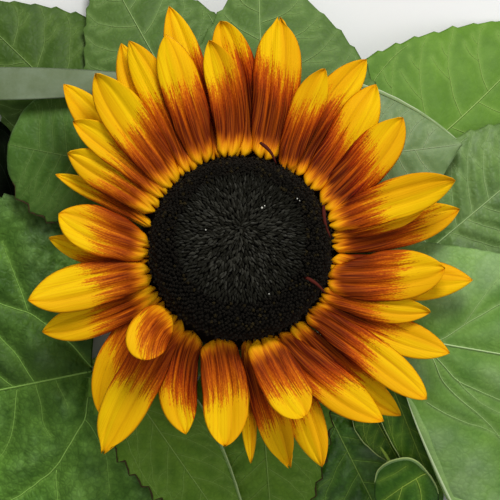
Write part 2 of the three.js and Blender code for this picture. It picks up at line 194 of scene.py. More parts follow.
# Leaves, as in the frame.
LEAF_THICKNESS = 1.2
LEAF_CAMBER = 1.1
LEAF_DOME_HEIGHT = 16.0
LEAF_DOME_REACH_X = 172.0
LEAF_DOME_REACH_Y = 112.0
LEAF_DOME_FLAT_SHARE = 0.42
LEAF_LEVEL_INNER = 4.6
LEAF_LEVEL_OUTER = 2.4
LEAF_CELL = 0.85
TOOTH_LENGTH = 5.5
# A dried margin is more ragged than a fresh one, and a folded one is nearly smooth.
DRY_RAGGEDNESS = 2.2
FOLDED_RAGGEDNESS = 0.2
# Quilting between the veins: the sizes of its large and small cells, how far their borders wander,
# and how far from a vein it is at its full height.
QUILT_CELL = 7.5
QUILT_SMALL_CELL = 3.4
QUILT_WANDER = 1.6
QUILT_REACH = 5.0
# Smooth unevenness of a blade: height and size of its margin's waves, its swings and its swells.
WAVE = (0.9, 9.0)
SWING = (1.3, 24.0)
SWELL = (0.5, 13.0)
# Veins: the sizes of each kind, a basal vein's branches as their starts along it and how far they
# turn back, and where a side vein's twigs start. Up to one size a vein doesn't dent the quilting,
# and above another it is a main vein.
VEIN_SIZES = {"midrib": 1.0, "basal": 0.75, "side": 0.46, "branch": 0.38, "twig": 0.26}
BASAL_BRANCHES = ((0.24, 0.12), (0.42, 0.08), (0.62, 0.03), (0.8, -0.02))
TWIG_STARTS = (0.4, 0.68)
TWIG_SIZE = 0.3
MAIN_VEIN_SIZE = 0.6
VEIN_RADIUS = 0.46
VEIN_LIFT = 0.12
# Steps along a folded and a dried margin, and how often a traced line, a fold and a vein are
# smoothed.
FOLD_STEPS = 70
DRY_STEPS = 90
LINE_ROUNDS = 8
FOLD_ROUNDS = 4
VEIN_ROUNDS = 3
# A stalk's radii at the neck and at the blade, for a large leaf.
STALK_RADII = (1.9, 1.0)
STALK_STEPS = 26

# One row a leaf. The two sides are the half widths on its right and left, and the two lobes say
# how far its base reaches back there. Level is its layer over the others, and node the height at
# which its stalk leaves the neck. Finish names its colours, quilt is the depth of its quilting,
# and veins the number of its side veins. A fold has its route over the blade as (along, across),
# its width and the width of its bright rim. A dry brown margin has its side, its start and its
# end. Lines are veins that the photo shows well: a width, then points in plan. The other keys are
# in LEAF_ELSE.
LEAVES = [
    dict(name="top_left", base=(-38, 30), tip=(-96, 86), sides=(33, 24), lobe=(10, 6), level=0,
         node=15, finish="olive", quilt=0.5, veins=5),
    dict(name="top_second", base=(-14, 38), tip=(-49, 101), sides=(29.5, 29.5), lobe=(10, 10),
         level=1, node=20, finish="grass", quilt=0.4, veins=5),
    dict(name="top", base=(8, 30), tip=(6, 98), sides=(41, 28), lobe=(8, 8), level=2, node=26,
         finish="grass", quilt=0.3, veins=5),
    dict(name="top_right", base=(42, 18), tip=(109, 80), sides=(39, 39), lobe=(12, 12), level=0,
         node=14, bow=-3, finish="lime", quilt=0.3, veins=5),
    dict(name="right_fold", base=(18, 29), tip=(76, 36), sides=(33, 27), lobe=(4, 4), level=3,
         node=30, finish="mist", quilt=0.6, veins=6,
         folds=[([(0.25, 1.0), (0.97, 1.0)], 1.3, 0.4)]),
    dict(name="right_upper", base=(64, -1), tip=(120, 46), sides=(27, 27), lobe=(12, 12), level=1,
         node=19, finish="sage", quilt=1.6, veins=7),
    dict(name="right", base=(52, -29.5), tip=(170, -50), sides=(56, 34), lobe=(-30, 12), root=0.95,
         level=4, node=30, finish="fern", quilt=0.8, cells=0.35, veins=6,
         folds=[([(0.0, -0.38), (0.0, -1.0), (0.22, -1.0)], 3.4, 1.0)],
         lines=[
             (0.5, (64, -31), (68, -32), (76.6, -26), (88.5, -19), (112, -8)),
             (0.5, (62, -32), (67, -37), (74, -45), (88, -51.5), (116, -62)),
             (0.5, (66, -37), (68.4, -44.7), (74.5, -51), (82.3, -57), (88.2, -63.4), (98, -78)),
             (0.4, (64, -53), (73, -58), (83, -61), (90, -65)),
             (0.3, (76.6, -26), (84, -15), (94, -4)), (0.3, (74, -45), (82, -53), (90, -57)),
         ]),
    dict(name="right_strip", base=(50, -42), tip=(70, -92), sides=(8, 9), lobe=(2, 2), level=2,
         node=22, finish="jade", quilt=0.5, veins=4, folds=[([(0.1, -1.0), (0.95, -1.0)], 0, 0.3)]),
    dict(name="curl_low", base=(55, -72), tip=(61, -108), sides=(11, 11), lobe=(-3, -7), root=0.8,
         round=2.6, level=3, node=26, sink=8, finish="jade", quilt=1.0, veins=0,
         lines=[
             (1.1, (65, -77), (60.5, -79), (55.5, -82), (50.5, -85.5), (46, -89)),
             (0.8, (60.5, -79), (62.5, -84), (62.5, -92)), (0.7, (55.5, -82), (54.5, -87), (50.5, -94)),
             (0.6, (57, -74.5), (53, -77.5), (47.5, -80)),
         ],
         folds=[([(0.12, -1.0), (0.0, -1.0), (0.0, 1.0), (0.3, 1.0)], 1.0, 0.6)]),
    dict(name="curl_small", base=(44, -54), tip=(56, -76), sides=(8, 12), lobe=(3, 3), level=1,
         node=18, finish="jade", quilt=1.0, veins=4, folds=[([(0.1, -1.0), (0.97, -1.0)], 0, 0.35)]),
    dict(name="bottom_right", base=(24, -44), tip=(58, -112), sides=(26, 26), lobe=(3, 3), level=0,
         node=13, finish="moss", quilt=1.7, veins=6),
    dict(name="bottom", base=(6, -36), tip=(12, -110), sides=(24, 24), lobe=(6, 6), level=1,
         node=22, finish="leek", quilt=0.6, veins=6, dry=[(1, 0.3, 0.8)]),
    dict(name="bottom_left", base=(-42, -42), tip=(5, -110), sides=(17, 17), lobe=(5, 5), level=2,
         node=28, finish="leek", quilt=0.5, veins=6, dry=[(-1, 0.18, 0.75)],
         folds=[([(0.28, 1.0), (0.96, 1.0)], 1.0, 0.5)]),
    # Its right side, near the petals, is darkened by painted shadow.
    dict(name="lower_left", base=(-51, -42), tip=(-158, -64), sides=(66, 66), lobe=(18, 18),
         level=0, node=17, finish="bottle", quilt=2.0, veins=6, root=0.7, painted_shadow=0.3,
         lines=[
             (0.8, (-51, -43), (-52.5, -51), (-53.3, -58.5), (-59.2, -67.9), (-64, -76), (-77, -85.6),
              (-96, -96)),
             (0.5, (-53.3, -58.5), (-49.7, -63.5), (-46.2, -70.6), (-45, -85)),
             (0.4, (-64, -76), (-63, -86), (-65, -96)),
             (0.5, (-77.3, -48), (-78.4, -63.4), (-82, -70.6), (-92, -82)),
             (0.42, (-70.5, -46), (-68.4, -54.2), (-68.4, -60), (-65, -65)),
             (0.3, (-64, -45), (-61, -50.5), (-59.8, -54)),
             (0.5, (-71, -46), (-77.3, -36), (-82, -31), (-94, -20)),
             (0.4, (-78, -48), (-82, -44.7), (-96, -33)),
             (0.7, (-51, -41), (-58, -33), (-66.7, -25.9), (-72.8, -21.8), (-82, -19.4), (-97, -12)),
             (0.4, (-72.8, -21.8), (-78.3, -7.5), (-82, 2)),
         ]),
    dict(name="left", base=(-40, 28), tip=(-80, 36), sides=(26, 24), lobe=(6, 6), point=3.0, blunt=0.6,
         level=2, node=24, finish="spruce", quilt=0.55, veins=6, dry=[(1, 0.3, 0.9)]),
    # A leaf behind the others whose nearly black colour is painted shadow.
    dict(name="left_deep", base=(-50, 12), tip=(-114, 14), sides=(38, 32), lobe=(6, 6), level=-1,
         node=11, finish="deep", quilt=0.8, veins=5),
    dict(name="left_folded", base=(-36, 56), tip=(-124, 55), sides=(7, 4.4), lobe=(1, 1), widest=0.55,
         level=4, node=30, finish="silver", quilt=0.0, veins=0, teeth=0.0),
]

# What a leaf has where its row doesn't say otherwise. Root is the width of its base as a share of
# its widest, which lies at widest along it, point how full it stays towards its tip, blunt how
# pointed the tip is, and round how square the lobes are. Cells is how clearly the quilting shows
# as cells, the shadow key how far painted shadow darkens its right side, and sink how far its
# stalk hangs down.
LEAF_ELSE = dict(bow=0, root=0.62, widest=0.3, point=1.7, blunt=1.0, round=1.3, teeth=1.4, cells=1.0,
                 painted_shadow=0.0, sink=0, folds=(), dry=(), lines=())

# Leaf finishes: blade, shaded blade and vein as sRGB colours, how strongly the skin shines, how
# far painted sheen pales the raised parts, and how deep its fine net is.
LEAF_FINISHES = {
    # Smooth upper leaves in full light, from dull to bright green.
    "olive": ("#4e6c24", "#3e5b1c", "#88a45c", 0.12, 0.08, 0.25),
    "grass": ("#5a7935", "#4d6a2c", "#9ab670", 0.12, 0.06, 0.22),
    "lime": ("#6a9232", "#5c832b", "#9cba62", 0.1, 0.03, 0.12),
    # Downy leaves, greyed on their raised parts by painted sheen, and one with bright veins.
    "mist": ("#7d9660", "#66834a", "#a6b98a", 0.18, 0.35, 0.15),
    "sage": ("#7a9c4e", "#587a38", "#a0ba7c", 0.2, 0.4, 0.3),
    "fern": ("#7ca746", "#628e38", "#b2cc8c", 0.15, 0.22, 0.25),
    # Puckered and curled leaves, glossier, with painted sheen on their crests and painted shade
    # in their wells.
    "moss": ("#5e9a22", "#2e5a0c", "#9cc05c", 0.3, 0.6, 0.4),
    "jade": ("#55861f", "#2c5a10", "#a2c04c", 0.18, 0.08, 0.3),
    # Lower leaves, netted and matt.
    "leek": ("#70982f", "#587f24", "#8cac54", 0.1, 0.05, 0.3),
    "bottle": ("#82b646", "#4c7826", "#a0cc62", 0.12, 0.12, 0.5),
    # Leaves at the left: one in half shade, one painted nearly black as painted shadow, and a folded
    # grey underside.
    "spruce": ("#567b30", "#40641f", "#73914a", 0.12, 0.1, 0.25),
    "deep": ("#0c1506", "#070d03", "#1a2910", 0.02, 0.0, 0.2),
    "silver": ("#78866a", "#667452", "#84926b", 0.12, 0.0, 0.05),
}

# Plain finishes: sRGB colour, roughness, and what it gives the eye.
PLAIN_FINISHES = {
    # Near black flesh without shine: painted shade for the depth between the florets.
    "disc flesh in painted shade": ("#0c0904", 0.9),
    # Dry scales with a faint light along their keels. The grey ones are paler.
    "charcoal bud": ("#1b1a12", 0.5),
    "grey bud": ("#34332b", 0.45),
    # Open florets, velvety and dull. The olive ones keep old pollen.
    "brown floret": ("#16120a", 0.8),
    "olive floret": ("#2e260e", 0.8),
    # Withered wine-red threads.
    "dried ray": ("#4e1609", 0.8),
    # Powder, pale and without shine.
    "pollen": ("#d8d6c8", 0.8),
    # Dry dark scales, darkened further as painted shadow under the petals' roots.
    "dark chaff with painted shadow": ("#1c1208", 0.9),
    # Crisp brown tissue without shine.
    "dried leaf margin": ("#43351f", 0.9),
}
PLAIN_SHINE = 0.2
VEIN_ROUGHNESS = 0.6
# Colours towards which a folded rim and a blade's underside go, and the painted sheen that pales
# its crests.
RIM_LIGHT = "#d6dfbe"
UNDERSIDE_LIGHT = "#a9bf88"
PAINTED_SHEEN = "#c3cfb4"
BLACK = "#000000"

# Stem finishes: two sRGB colours that mottle it. Green skin, rind and bracts are matt with a fine
# grain, pith is spongy and nearly white, and the wood ring is a duller green.
STEM_FINISHES = {
    "stem skin": ("#86a05a", "#667f42"),
    "stem pith": ("#e6e6cf", "#d3d4b4"),
    "stem wood ring": ("#b9c491", "#a3b077"),
    "stem rind": ("#7f9a4f", "#6a853f"),
    "bract skin": ("#5c7d3a", "#45662c"),
}

# Petal colours as ramps from the band's core to the open yellow: a dark band, a brown one whose
# warmer colour is painted light shining through the band, and the golden root.
DARK_BAND = [
    (0.0, "#501203"), (0.24, "#7c1e04"), (0.42, "#a23604"), (0.56, "#c45405"), (0.68, "#da7807"),
    (0.79, "#e89808"), (0.9, "#f0b005"),
]
BROWN_BAND = [
    (0.0, "#963a05"), (0.25, "#b45407"), (0.45, "#cc720a"), (0.65, "#e29408"), (0.9, "#f2b206"),
]
GOLDEN_ROOT = [(0.0, "#f4b00c"), (0.28, "#ea980a"), (0.55, "#c86808"), (1.0, "#8c3004")]
# Tints laid over them: pale and deep streaks of the band, two yellows and their thin streaks, what
# the petal's rim is multiplied by, and the painted shade that darkens its creases. The two yellows
# also carry painted light and shade on the two facets of each keel.
PALE_STREAK = "#cc620c"
DEEP_STREAK = "#702c12"
LEMON_YELLOW = "#f3c407"
WARM_YELLOW = "#e9ab06"
THIN_STREAK = "#e39c05"
RIM_TINT = "#f0a868"
CREASE_SHADE_PAINT = "#9a4804"

# Streaks along a petal: their width and length in mm, and how finely they are broken up. The
# ribs of a real petal are finer and flatter than these, too fine to show.
STREAKS = {
    "coarse": (1.2, 16.0, 2.0), "fine": (0.36, 7.0, 3.0), "speckle": (0.22, 0.7, 1.0),
    "pale": (0.3, 30.0, 3.0), "deep": (0.5, 24.0, 2.0), "thin": (0.35, 40.0, 2.0),
    "ribs": (0.5, 20.0, 3.0),
}
# How far in mm the streaks fray the outer end of the band and the edge of the golden root.
BAND_FRAY = (("coarse", 8.0), ("fine", 16.0), ("speckle", 10.0))
ROOT_FRAY = (("coarse", 6.0), ("fine", 6.0))
# The dark band and the golden root change colour between these distances, in mm.
BAND_EDGE = (6.5, 24.0)
ROOT_EDGE = (6.5, 16.0)
# Streaks laid over the band and the yellow: they set in from one value of their noise to another,
# and cover this much at most.
STREAK_COVER = (("pale", 0.46, 0.68, 0.55), ("deep", 0.5, 0.66, 0.55), ("thin", 0.48, 0.7, 0.5))
RIB_DEPTH = 0.3
# Roughness and shine.
PETAL_GLOSS = (0.6, 0.05)
STEM_GLOSS = (0.6, 0.3)
FLOOR_GLOSS = (0.8, 0.2)

# Leaf skin: the meshes of its net, the size at which they bend, the size of its mottling and the
# depth of the net. Stem tissue: the sizes of its mottling and grain, and the depth of the grain.
NET_MESH = 2.1
NET_BEND = 2.5
LEAF_MOTTLE = 11.0
NET_DEPTH = 0.35
STEM_MOTTLE = 4.0
STEM_GRAIN = 0.8
GRAIN_DEPTH = 0.3

# Kinds of nodes that are used often.
MIX = "ShaderNodeMix"
RANGE = "ShaderNodeMapRange"
RAMP = "ShaderNodeValToRGB"
NOISE = "ShaderNodeTexNoise"
BUMP = "ShaderNodeBump"
COMBINE = "ShaderNodeCombineXYZ"
ATTRIBUTE = "ShaderNodeAttribute"
COORDINATES = "ShaderNodeTexCoord"

# Seed disc: a spiral of florets at the golden angle, closed buds inside and open ones outside. Its
# middle is shifted towards the upper edge.
GOLDEN_ANGLE = math.pi * (3 - math.sqrt(5))
WHORL_SHIFT = 7.0
BUD_SIZE = 1.75
BUD_DARK_SHARE = 0.6
FLORET_SIZE = 1.0
FLORET_DARK_SHARE = 0.88
# The tips' height above the disc's floor rises from one to the other between two radii, and then
# falls at the rim.
SPIRAL_RISE = (4.0, 25.0, 5.2, 7.4)
SPIRAL_DROP = (27.0, 32.5, 0.0, 5.2)
# Grey buds get fewer outwards, between these radii.
GREY_FADE = (13.0, 22.0)
SPIRAL_INPUTS = (
    ("Shape", "Object"), ("First", "Int"), ("Count", "Int"), ("Pitch", "Float"), ("Size", "Float"),
    ("Seed", "Int"), ("Shift", "Float"), ("Radius", "Float"), ("Dark share", "Float"),
    ("Main", "Material"), ("Other", "Material"),
)

# Dried rays that curl over the disc's edge: start, end, bow and height.
FILAMENTS = [
    ((6.8, 36.1), (12.1, 29.0), 0.9, 60.5),
    ((28.3, 14.7), (30.7, 3.8), -0.8, 61.0),
    ((21.7, -9.5), (28.8, -15.0), 0.7, 63.5),
]
FILAMENT_RADII = (0.5, 0.62, 0.62, 0.58, 0.5, 0.42, 0.34, 0.22)

# Pale pollen grains on the disc: place, height and radius.
POLLEN_GRAINS = [
    (7.3, 14.0, 64.6, 0.45), (19.3, 17.1, 66.0, 0.3), (-11.8, 6.5, 64.8, 0.3),
    (9.7, -15.3, 64.8, 0.28), (8.2, 14.7, 64.6, 0.3), (20.1, 16.4, 66.0, 0.2),
]

# Stage, in metres: two soft lamps with their place, size and power, the point that they face, an
# even pale world, a floor just under the part, and where the camera looks.
LAMPS = (("key", (0.15, 0.75, 0.95), 0.45, 10.6), ("fill", (0.7, -0.2, 0.8), 0.9, 2.6))
LAMP_AIM = (0, 0, 0.03)
WORLD_COLOUR = (0.97, 0.98, 1.0, 1.0)
WORLD_STRENGTH = 0.31
FLOOR_HALF = 2
FLOOR_HEIGHT = -0.0003
PETAL_LEVEL = 0.052
VIEW_MIDDLE = ((CENTRE_X + 3.24) * MM, (CENTRE_Y - 0.34) * MM)
SENSOR_WIDTH = 36


def linear(code):
    """Turns an sRGB hex colour into linear red, green, blue and alpha."""
    parts = [int(code[i:i + 2], 16) / 255 for i in (1, 3, 5)]
    lit = [part / 12.92 if part <= 0.04045 else ((part + 0.055) / 1.055) ** 2.4 for part in parts]
    return (*lit, 1.0)


def between(first, second, share):
    """The sRGB hex colour part of the way from one to another."""
    pairs = [(int(first[i:i + 2], 16), int(second[i:i + 2], 16)) for i in (1, 3, 5)]
    return "#" + "".join(f"{round(a + (b - a) * share):02x}" for a, b in pairs)


def polar(radius, bearing):
    """A point in plan at a radius and a bearing in degrees from the middle of the bloom."""
    angle = np.radians(bearing)
    return np.stack([radius * np.cos(angle), radius * np.sin(angle)], -1)


def smoothstep(low, high, value):
    """Rises smoothly from 0 at low to 1 at high."""
    t = np.clip((value - low) / (high - low), 0, 1)
    return t * t * (3 - 2 * t)


def unit(vectors):
    """Vectors scaled to length 1 along the last axis."""
    return vectors / np.maximum(np.linalg.norm(vectors, axis=-1, keepdims=True), 1e-9)


def bezier(points, t):
    """Points and directions of a quadratic or cubic Bezier curve at the shares t."""
    layer = [np.broadcast_to(np.asarray(p, float), (len(t), len(points[0]))) for p in points]
    t = t[:, None]
    while len(layer) > 2:
        layer = [a + (b - a) * t for a, b in zip(layer, layer[1:])]
    return layer[0] + (layer[1] - layer[0]) * t, unit(layer[1] - layer[0])


def width_share(u, root_share, widest, point_power):
    """Share of the full width: swells from root_share to 1 at widest, then closes to 0."""
    rising = root_share + (1 - root_share) * np.sin(np.pi / 2 * np.minimum(u / widest, 1))
    falling = 1 - np.clip((u - widest) / (1 - widest), 0, 1) ** point_power
    return np.where(u < widest, rising, falling)


def roughness_at(points, size, seed):
    """Smooth noise from -1 to 1 at each point, with bumps of about the given size."""
    flat = points.reshape(-1, points.shape[-1]) / size
    depth = flat[:, 2] if flat.shape[1] > 2 else np.zeros(len(flat))
    values = [noise.noise(Vector((x + seed * 17.3, y - seed * 9.1, z)))
              for x, y, z in zip(flat[:, 0], flat[:, 1], depth)]
    return np.array(values).reshape(points.shape[:-1])


def smoothed(path):
    """A path with each inner point drawn halfway to the middle of its neighbours."""
    inner = (path[:-2] + path[1:-1] * 2 + path[2:]) / 4
    return np.concatenate([path[:1], inner, path[-1:]])


def spread_over(steps, count, *values):
    """Values at points along a path, read at a number of even steps along its length."""
    share = np.linspace(0, steps[-1], count)
    return [np.interp(share, steps, value) for value in values]


# Meshes.

def shell(surface, thickness):
    """Closes a grid of points into a thin solid whose top and underside share one sharp rim."""
    rows, columns = surface.shape[:2]
    top = np.arange(rows * columns).reshape(rows, columns)
    under = top.copy()
    inside = (rows - 2) * (columns - 2)
    under[1:-1, 1:-1] = rows * columns + np.arange(inside).reshape(rows - 2, columns - 2)
    normals = unit(np.cross(np.gradient(surface, axis=0), np.gradient(surface, axis=1)))
    below = (surface - normals * thickness)[1:-1, 1:-1]
    points = np.concatenate([surface.reshape(-1, 3), below.reshape(-1, 3)])
    a, b = top[:-1, :-1], top[1:, :-1]
    c, d = top[1:, 1:], top[:-1, 1:]
    upper = np.stack([a, b, c, d], -1).reshape(-1, 4)
    a, b = under[:-1, :-1], under[1:, :-1]
    c, d = under[1:, 1:], under[:-1, 1:]
    lower = np.stack([a, d, c, b], -1).reshape(-1, 4)
    return points, np.concatenate([upper, lower])


def on_shell(values):
    """Spreads a grid of numbers over the points that shell makes from the same grid."""
    return np.concatenate([values.reshape(-1), values[1:-1, 1:-1].reshape(-1)])


def shell_map(rows, columns):
    """One flat map for a shell: the top on the left half and the underside on the right."""
    across, along = np.meshgrid(np.linspace(0.01, 0.49, columns), np.linspace(0.01, 0.99, rows))
    spots = np.stack([across, along], -1)
    corners = [spots[:-1, :-1], spots[1:, :-1], spots[1:, 1:], spots[:-1, 1:]]
    upper = np.stack(corners, 2).reshape(-1, 2)
    lower = np.stack([corners[0], corners[3], corners[2], corners[1]], 2).reshape(-1, 2)
    return np.concatenate([upper, lower + (0.5, 0)])


def tube(path, radii, sides, flatten=1.0):
    """A closed tube along a path, with its own radius at each point and flat ends."""
    along = unit(np.gradient(path, axis=0))
    sideways = unit(np.cross(along, (0.0, 0.0, 1.0)) + 1e-6)
    upward = np.cross(sideways, along)
    turn = np.arange(sides) * 2 * np.pi / sides
    ring = (sideways[:, None] * np.cos(turn)[None, :, None]
            + upward[:, None] * np.sin(turn)[None, :, None] * flatten)
    points = (path[:, None] + ring * np.asarray(radii)[:, None, None]).reshape(-1, 3)
    faces = []
    for step in range(len(path) - 1):
        for side in range(sides):
            near = step * sides
            beside = (side + 1) % sides
            faces.append((near + side, near + sides + side, near + sides + beside, near + beside))
    last = (len(path) - 1) * sides
    faces.append(tuple(range(sides)))
    faces.append(tuple(last + side for side in reversed(range(sides))))
    return points, faces


def turned(outline, segments):
    """A closed round body about +Z from [radius, height] pairs that start and end on the axis."""
    points = [(0.0, 0.0, outline[0][1])]
    for radius, height in outline[1:-1]:
        for turn in np.arange(segments) * 2 * np.pi / segments:
            points.append((radius * math.cos(turn), radius * math.sin(turn), height))
    points.append((0.0, 0.0, outline[-1][1]))
    faces = []
    rings = len(outline) - 2
    for side in range(segments):
        beside = (side + 1) % segments
        faces.append((0, 1 + beside, 1 + side))
        for ring in range(rings - 1):
            low = 1 + ring * segments
            high = low + segments
            faces.append((low + side, low + beside, high + beside, high + side))
        top = 1 + (rings - 1) * segments
        faces.append((top + side, top + beside, len(points) - 1))
    return np.array(points), faces


def joined(parts):
    """Joins several (points, faces) into one."""
    starts = np.cumsum([0] + [len(points) for points, _ in parts])
    faces = [tuple(int(i) + start for i in face)
             for (_, some_faces), start in zip(parts, starts) for face in some_faces]
    return np.concatenate([points for points, _ in parts]), faces


def add_piece(name, points, faces, materials, slot, replaced=(), chosen=None, flat_map=None,
              numbers=None):
    """Makes a smooth mesh piece from points in mm round the bloom, and puts it on the part."""
    mesh = bpy.data.meshes.new(name)
    placed = (np.asarray(points, float) + (CENTRE_X, CENTRE_Y, 0)) * MM
    mesh.from_pydata(placed.tolist(), [], [tuple(int(i) for i in face) for face in faces])
    for material in materials:
        mesh.materials.append(material)
    if chosen is not None:
        mesh.polygons.foreach_set("material_index", np.asarray(chosen, np.int32))
    mesh.polygons.foreach_set("use_smooth", np.ones(len(mesh.polygons), bool))
    if flat_map is not None:
        layer = mesh.uv_layers.new(name="OFBake")
        layer.data.foreach_set("uv", flat_map.astype(np.float32).ravel())
    for key, values in (numbers or {}).items():
        attribute = mesh.attributes.new(key, "FLOAT", "POINT")
        attribute.data.foreach_set("value", np.asarray(values, np.float32))
    mesh.update()
    on_part(in_scene(name, mesh), replaced)


def add_shell(name, surface, thickness, numbers, materials, slot, replaced):
    """Makes a shell piece with the numbers its colours need. Its last material is underneath."""
    points, faces = shell(surface, thickness)
    half = len(faces) // 2
    add_piece(name, points, faces, materials, slot, replaced,
              chosen=[0] * half + [len(materials) - 1] * half,
              flat_map=shell_map(*surface.shape[:2]),
              numbers={key: on_shell(values) for key, values in numbers.items()})


def add_joined(name, parts, materials, slot):
    """Makes one piece of several (points, faces), each given with the number of its material."""
    points, faces = joined([part for part, _ in parts])
    chosen = [number for (_, some_faces), number in parts for _ in some_faces]
    add_piece(name, points, faces, materials, slot, chosen=chosen)


def in_scene(name, data):
    """Puts a mesh, lamp or camera into the scene as an object."""
    made = bpy.data.objects.new(name, data)
    bpy.context.scene.collection.objects.link(made)
    return made


def on_part(piece, replaced=()):
    """Puts a finished piece on the part's body and hides the parts it replaces."""
    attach(piece, BODY)
    if replaced:
        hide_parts(*replaced)


# Materials.

def add_node(tree, kind, inputs=(), stops=(), **settings):
    """Adds a node with its settings, sets or links its inputs, and returns its outputs.

    A kind in capitals is a Math node's operation. The inputs come in order, or by name or number.
    Stops are a colour ramp's places and colours.
    """
    if kind.isupper():
        settings["operation"] = kind
    made = tree.nodes.new("ShaderNodeMath" if kind.isupper() else kind)
    for key, value in settings.items():
        setattr(made, key, value)
    while stops and len(made.color_ramp.elements) < len(stops):
        made.color_ramp.elements.new(1.0)
    for number, (place, colour) in enumerate(stops):
        made.color_ramp.elements[number].position = place
        made.color_ramp.elements[number].color = linear(colour)
    for key, value in inputs.items() if isinstance(inputs, dict) else enumerate(inputs):
        if isinstance(value, bpy.types.NodeSocket):
            tree.links.new(value, made.inputs[key])
        else:
            made.inputs[key].default_value = value
    return made.outputs


def new_material(name, roughness, shine):
    """A material with an empty tree but for its Principled shader, which it returns too."""
    material = bpy.data.materials.new(name)
    material.use_nodes = True
    tree = material.node_tree
    shader = tree.nodes["Principled BSDF"]
    shader.inputs["Roughness"].default_value = roughness
    shader.inputs["Specular IOR Level"].default_value = shine
    return material, tree, shader


def petal_material():
    """Ray petal tissue, with a maroon or brown band that ends in streaks on yellow."""
    # Thin waxy tissue. To the eye it is nearly matt, with fine ribs and streaks along it.
    material, tree, shader = new_material("ray petal tissue", *PETAL_GLOSS)
    node = partial(add_node, tree)
    names = ("across", "along", "petal", "band", "depth", "warmth_and_facet_shading", "ridge", "gold", "rim", "crease")
    read = {name: node(ATTRIBUTE, attribute_name=name)["Fac"] for name in names}

    streaks = {}
    for name, (width, length, detail) in STREAKS.items():
        x = node("DIVIDE", (read["across"], width))[0]
        y = node("DIVIDE", (read["along"], length))[0]
        place = node(COMBINE, (x, y, read["petal"]))[0]
        streaks[name] = node(NOISE, {"Vector": place, "Scale": 1.0, "Detail": detail})["Fac"]

    # How far out each point is past the band's end.
    past = read["band"]
    for name, most in BAND_FRAY:
        past = node("MULTIPLY_ADD", (streaks[name], most, past))[0]
    share = node(RANGE, (past, *BAND_EDGE))[0]
    dark = node(RAMP, (share,), stops=DARK_BAND)[0]
    brown = node(RAMP, (share,), stops=BROWN_BAND)[0]
    # Each petal's depth mixes the dark band with the brown one, which is painted light shining through.
    band = node(MIX, {0: read["depth"], 6: brown, 7: dark}, data_type="RGBA")[2]

    # Pale streaks, stronger on the ridges, and deep ones.
    ridge = node("MULTIPLY", (read["ridge"], 0.6))[0]
    pale, deep, thin = (node(RANGE, (streaks[name], low, high, 0.0, most))[0]
                        for name, low, high, most in STREAK_COVER)
    pale = node("MAXIMUM", (pale, ridge))[0]
    band = node(MIX, {0: pale, 6: band, 7: linear(PALE_STREAK)}, data_type="RGBA")[2]
    band = node(MIX, {0: deep, 6: band, 7: linear(DEEP_STREAK)}, data_type="RGBA",
                blend_type="MULTIPLY")[2]

    # The open yellow, warmer by chance and on petals that point right, with painted light and shade
    # as lemon on one facet of each keel and amber on the other.
    yellow = node(MIX, {0: read["warmth_and_facet_shading"], 6: linear(LEMON_YELLOW), 7: linear(WARM_YELLOW)},
                  data_type="RGBA")[2]
    yellow = node(MIX, {0: thin, 6: yellow, 7: linear(THIN_STREAK)}, data_type="RGBA")[2]
    open_part = node(RANGE, (share, 0.66, 0.96), interpolation_type="SMOOTHSTEP")[0]
    colour = node(MIX, {0: open_part, 6: band, 7: yellow}, data_type="RGBA")[2]

    # The golden root.
    root = read["gold"]
    for name, most in ROOT_FRAY:
        root = node("MULTIPLY_ADD", (streaks[name], most, root))[0]
    knuckle = node(RANGE, (root, *ROOT_EDGE))[0]
    base = node(RAMP, (knuckle,), stops=GOLDEN_ROOT)[0]
    cover = node(RANGE, (knuckle, 0.4, 0.95, 1.0, 0.0), interpolation_type="SMOOTHSTEP")[0]
    colour = node(MIX, {0: cover, 6: colour, 7: base}, data_type="RGBA")[2]

    # Rim tint, and painted shade in the creases and between the knuckles.
    for name, most, tint in (("rim", 0.35, RIM_TINT), ("crease", 0.7, CREASE_SHADE_PAINT)):
        share = node("MULTIPLY", (read[name], most))[0]
        colour = node(MIX, {0: share, 6: colour, 7: linear(tint)}, data_type="RGBA",
                      blend_type="MULTIPLY")[2]
    tree.links.new(colour, shader.inputs["Base Color"])

    relief = node(BUMP, {"Height": streaks["ribs"], "Strength": 0.7, "Distance": RIB_DEPTH * MM})[0]
    tree.links.new(relief, shader.inputs["Normal"])
    return material


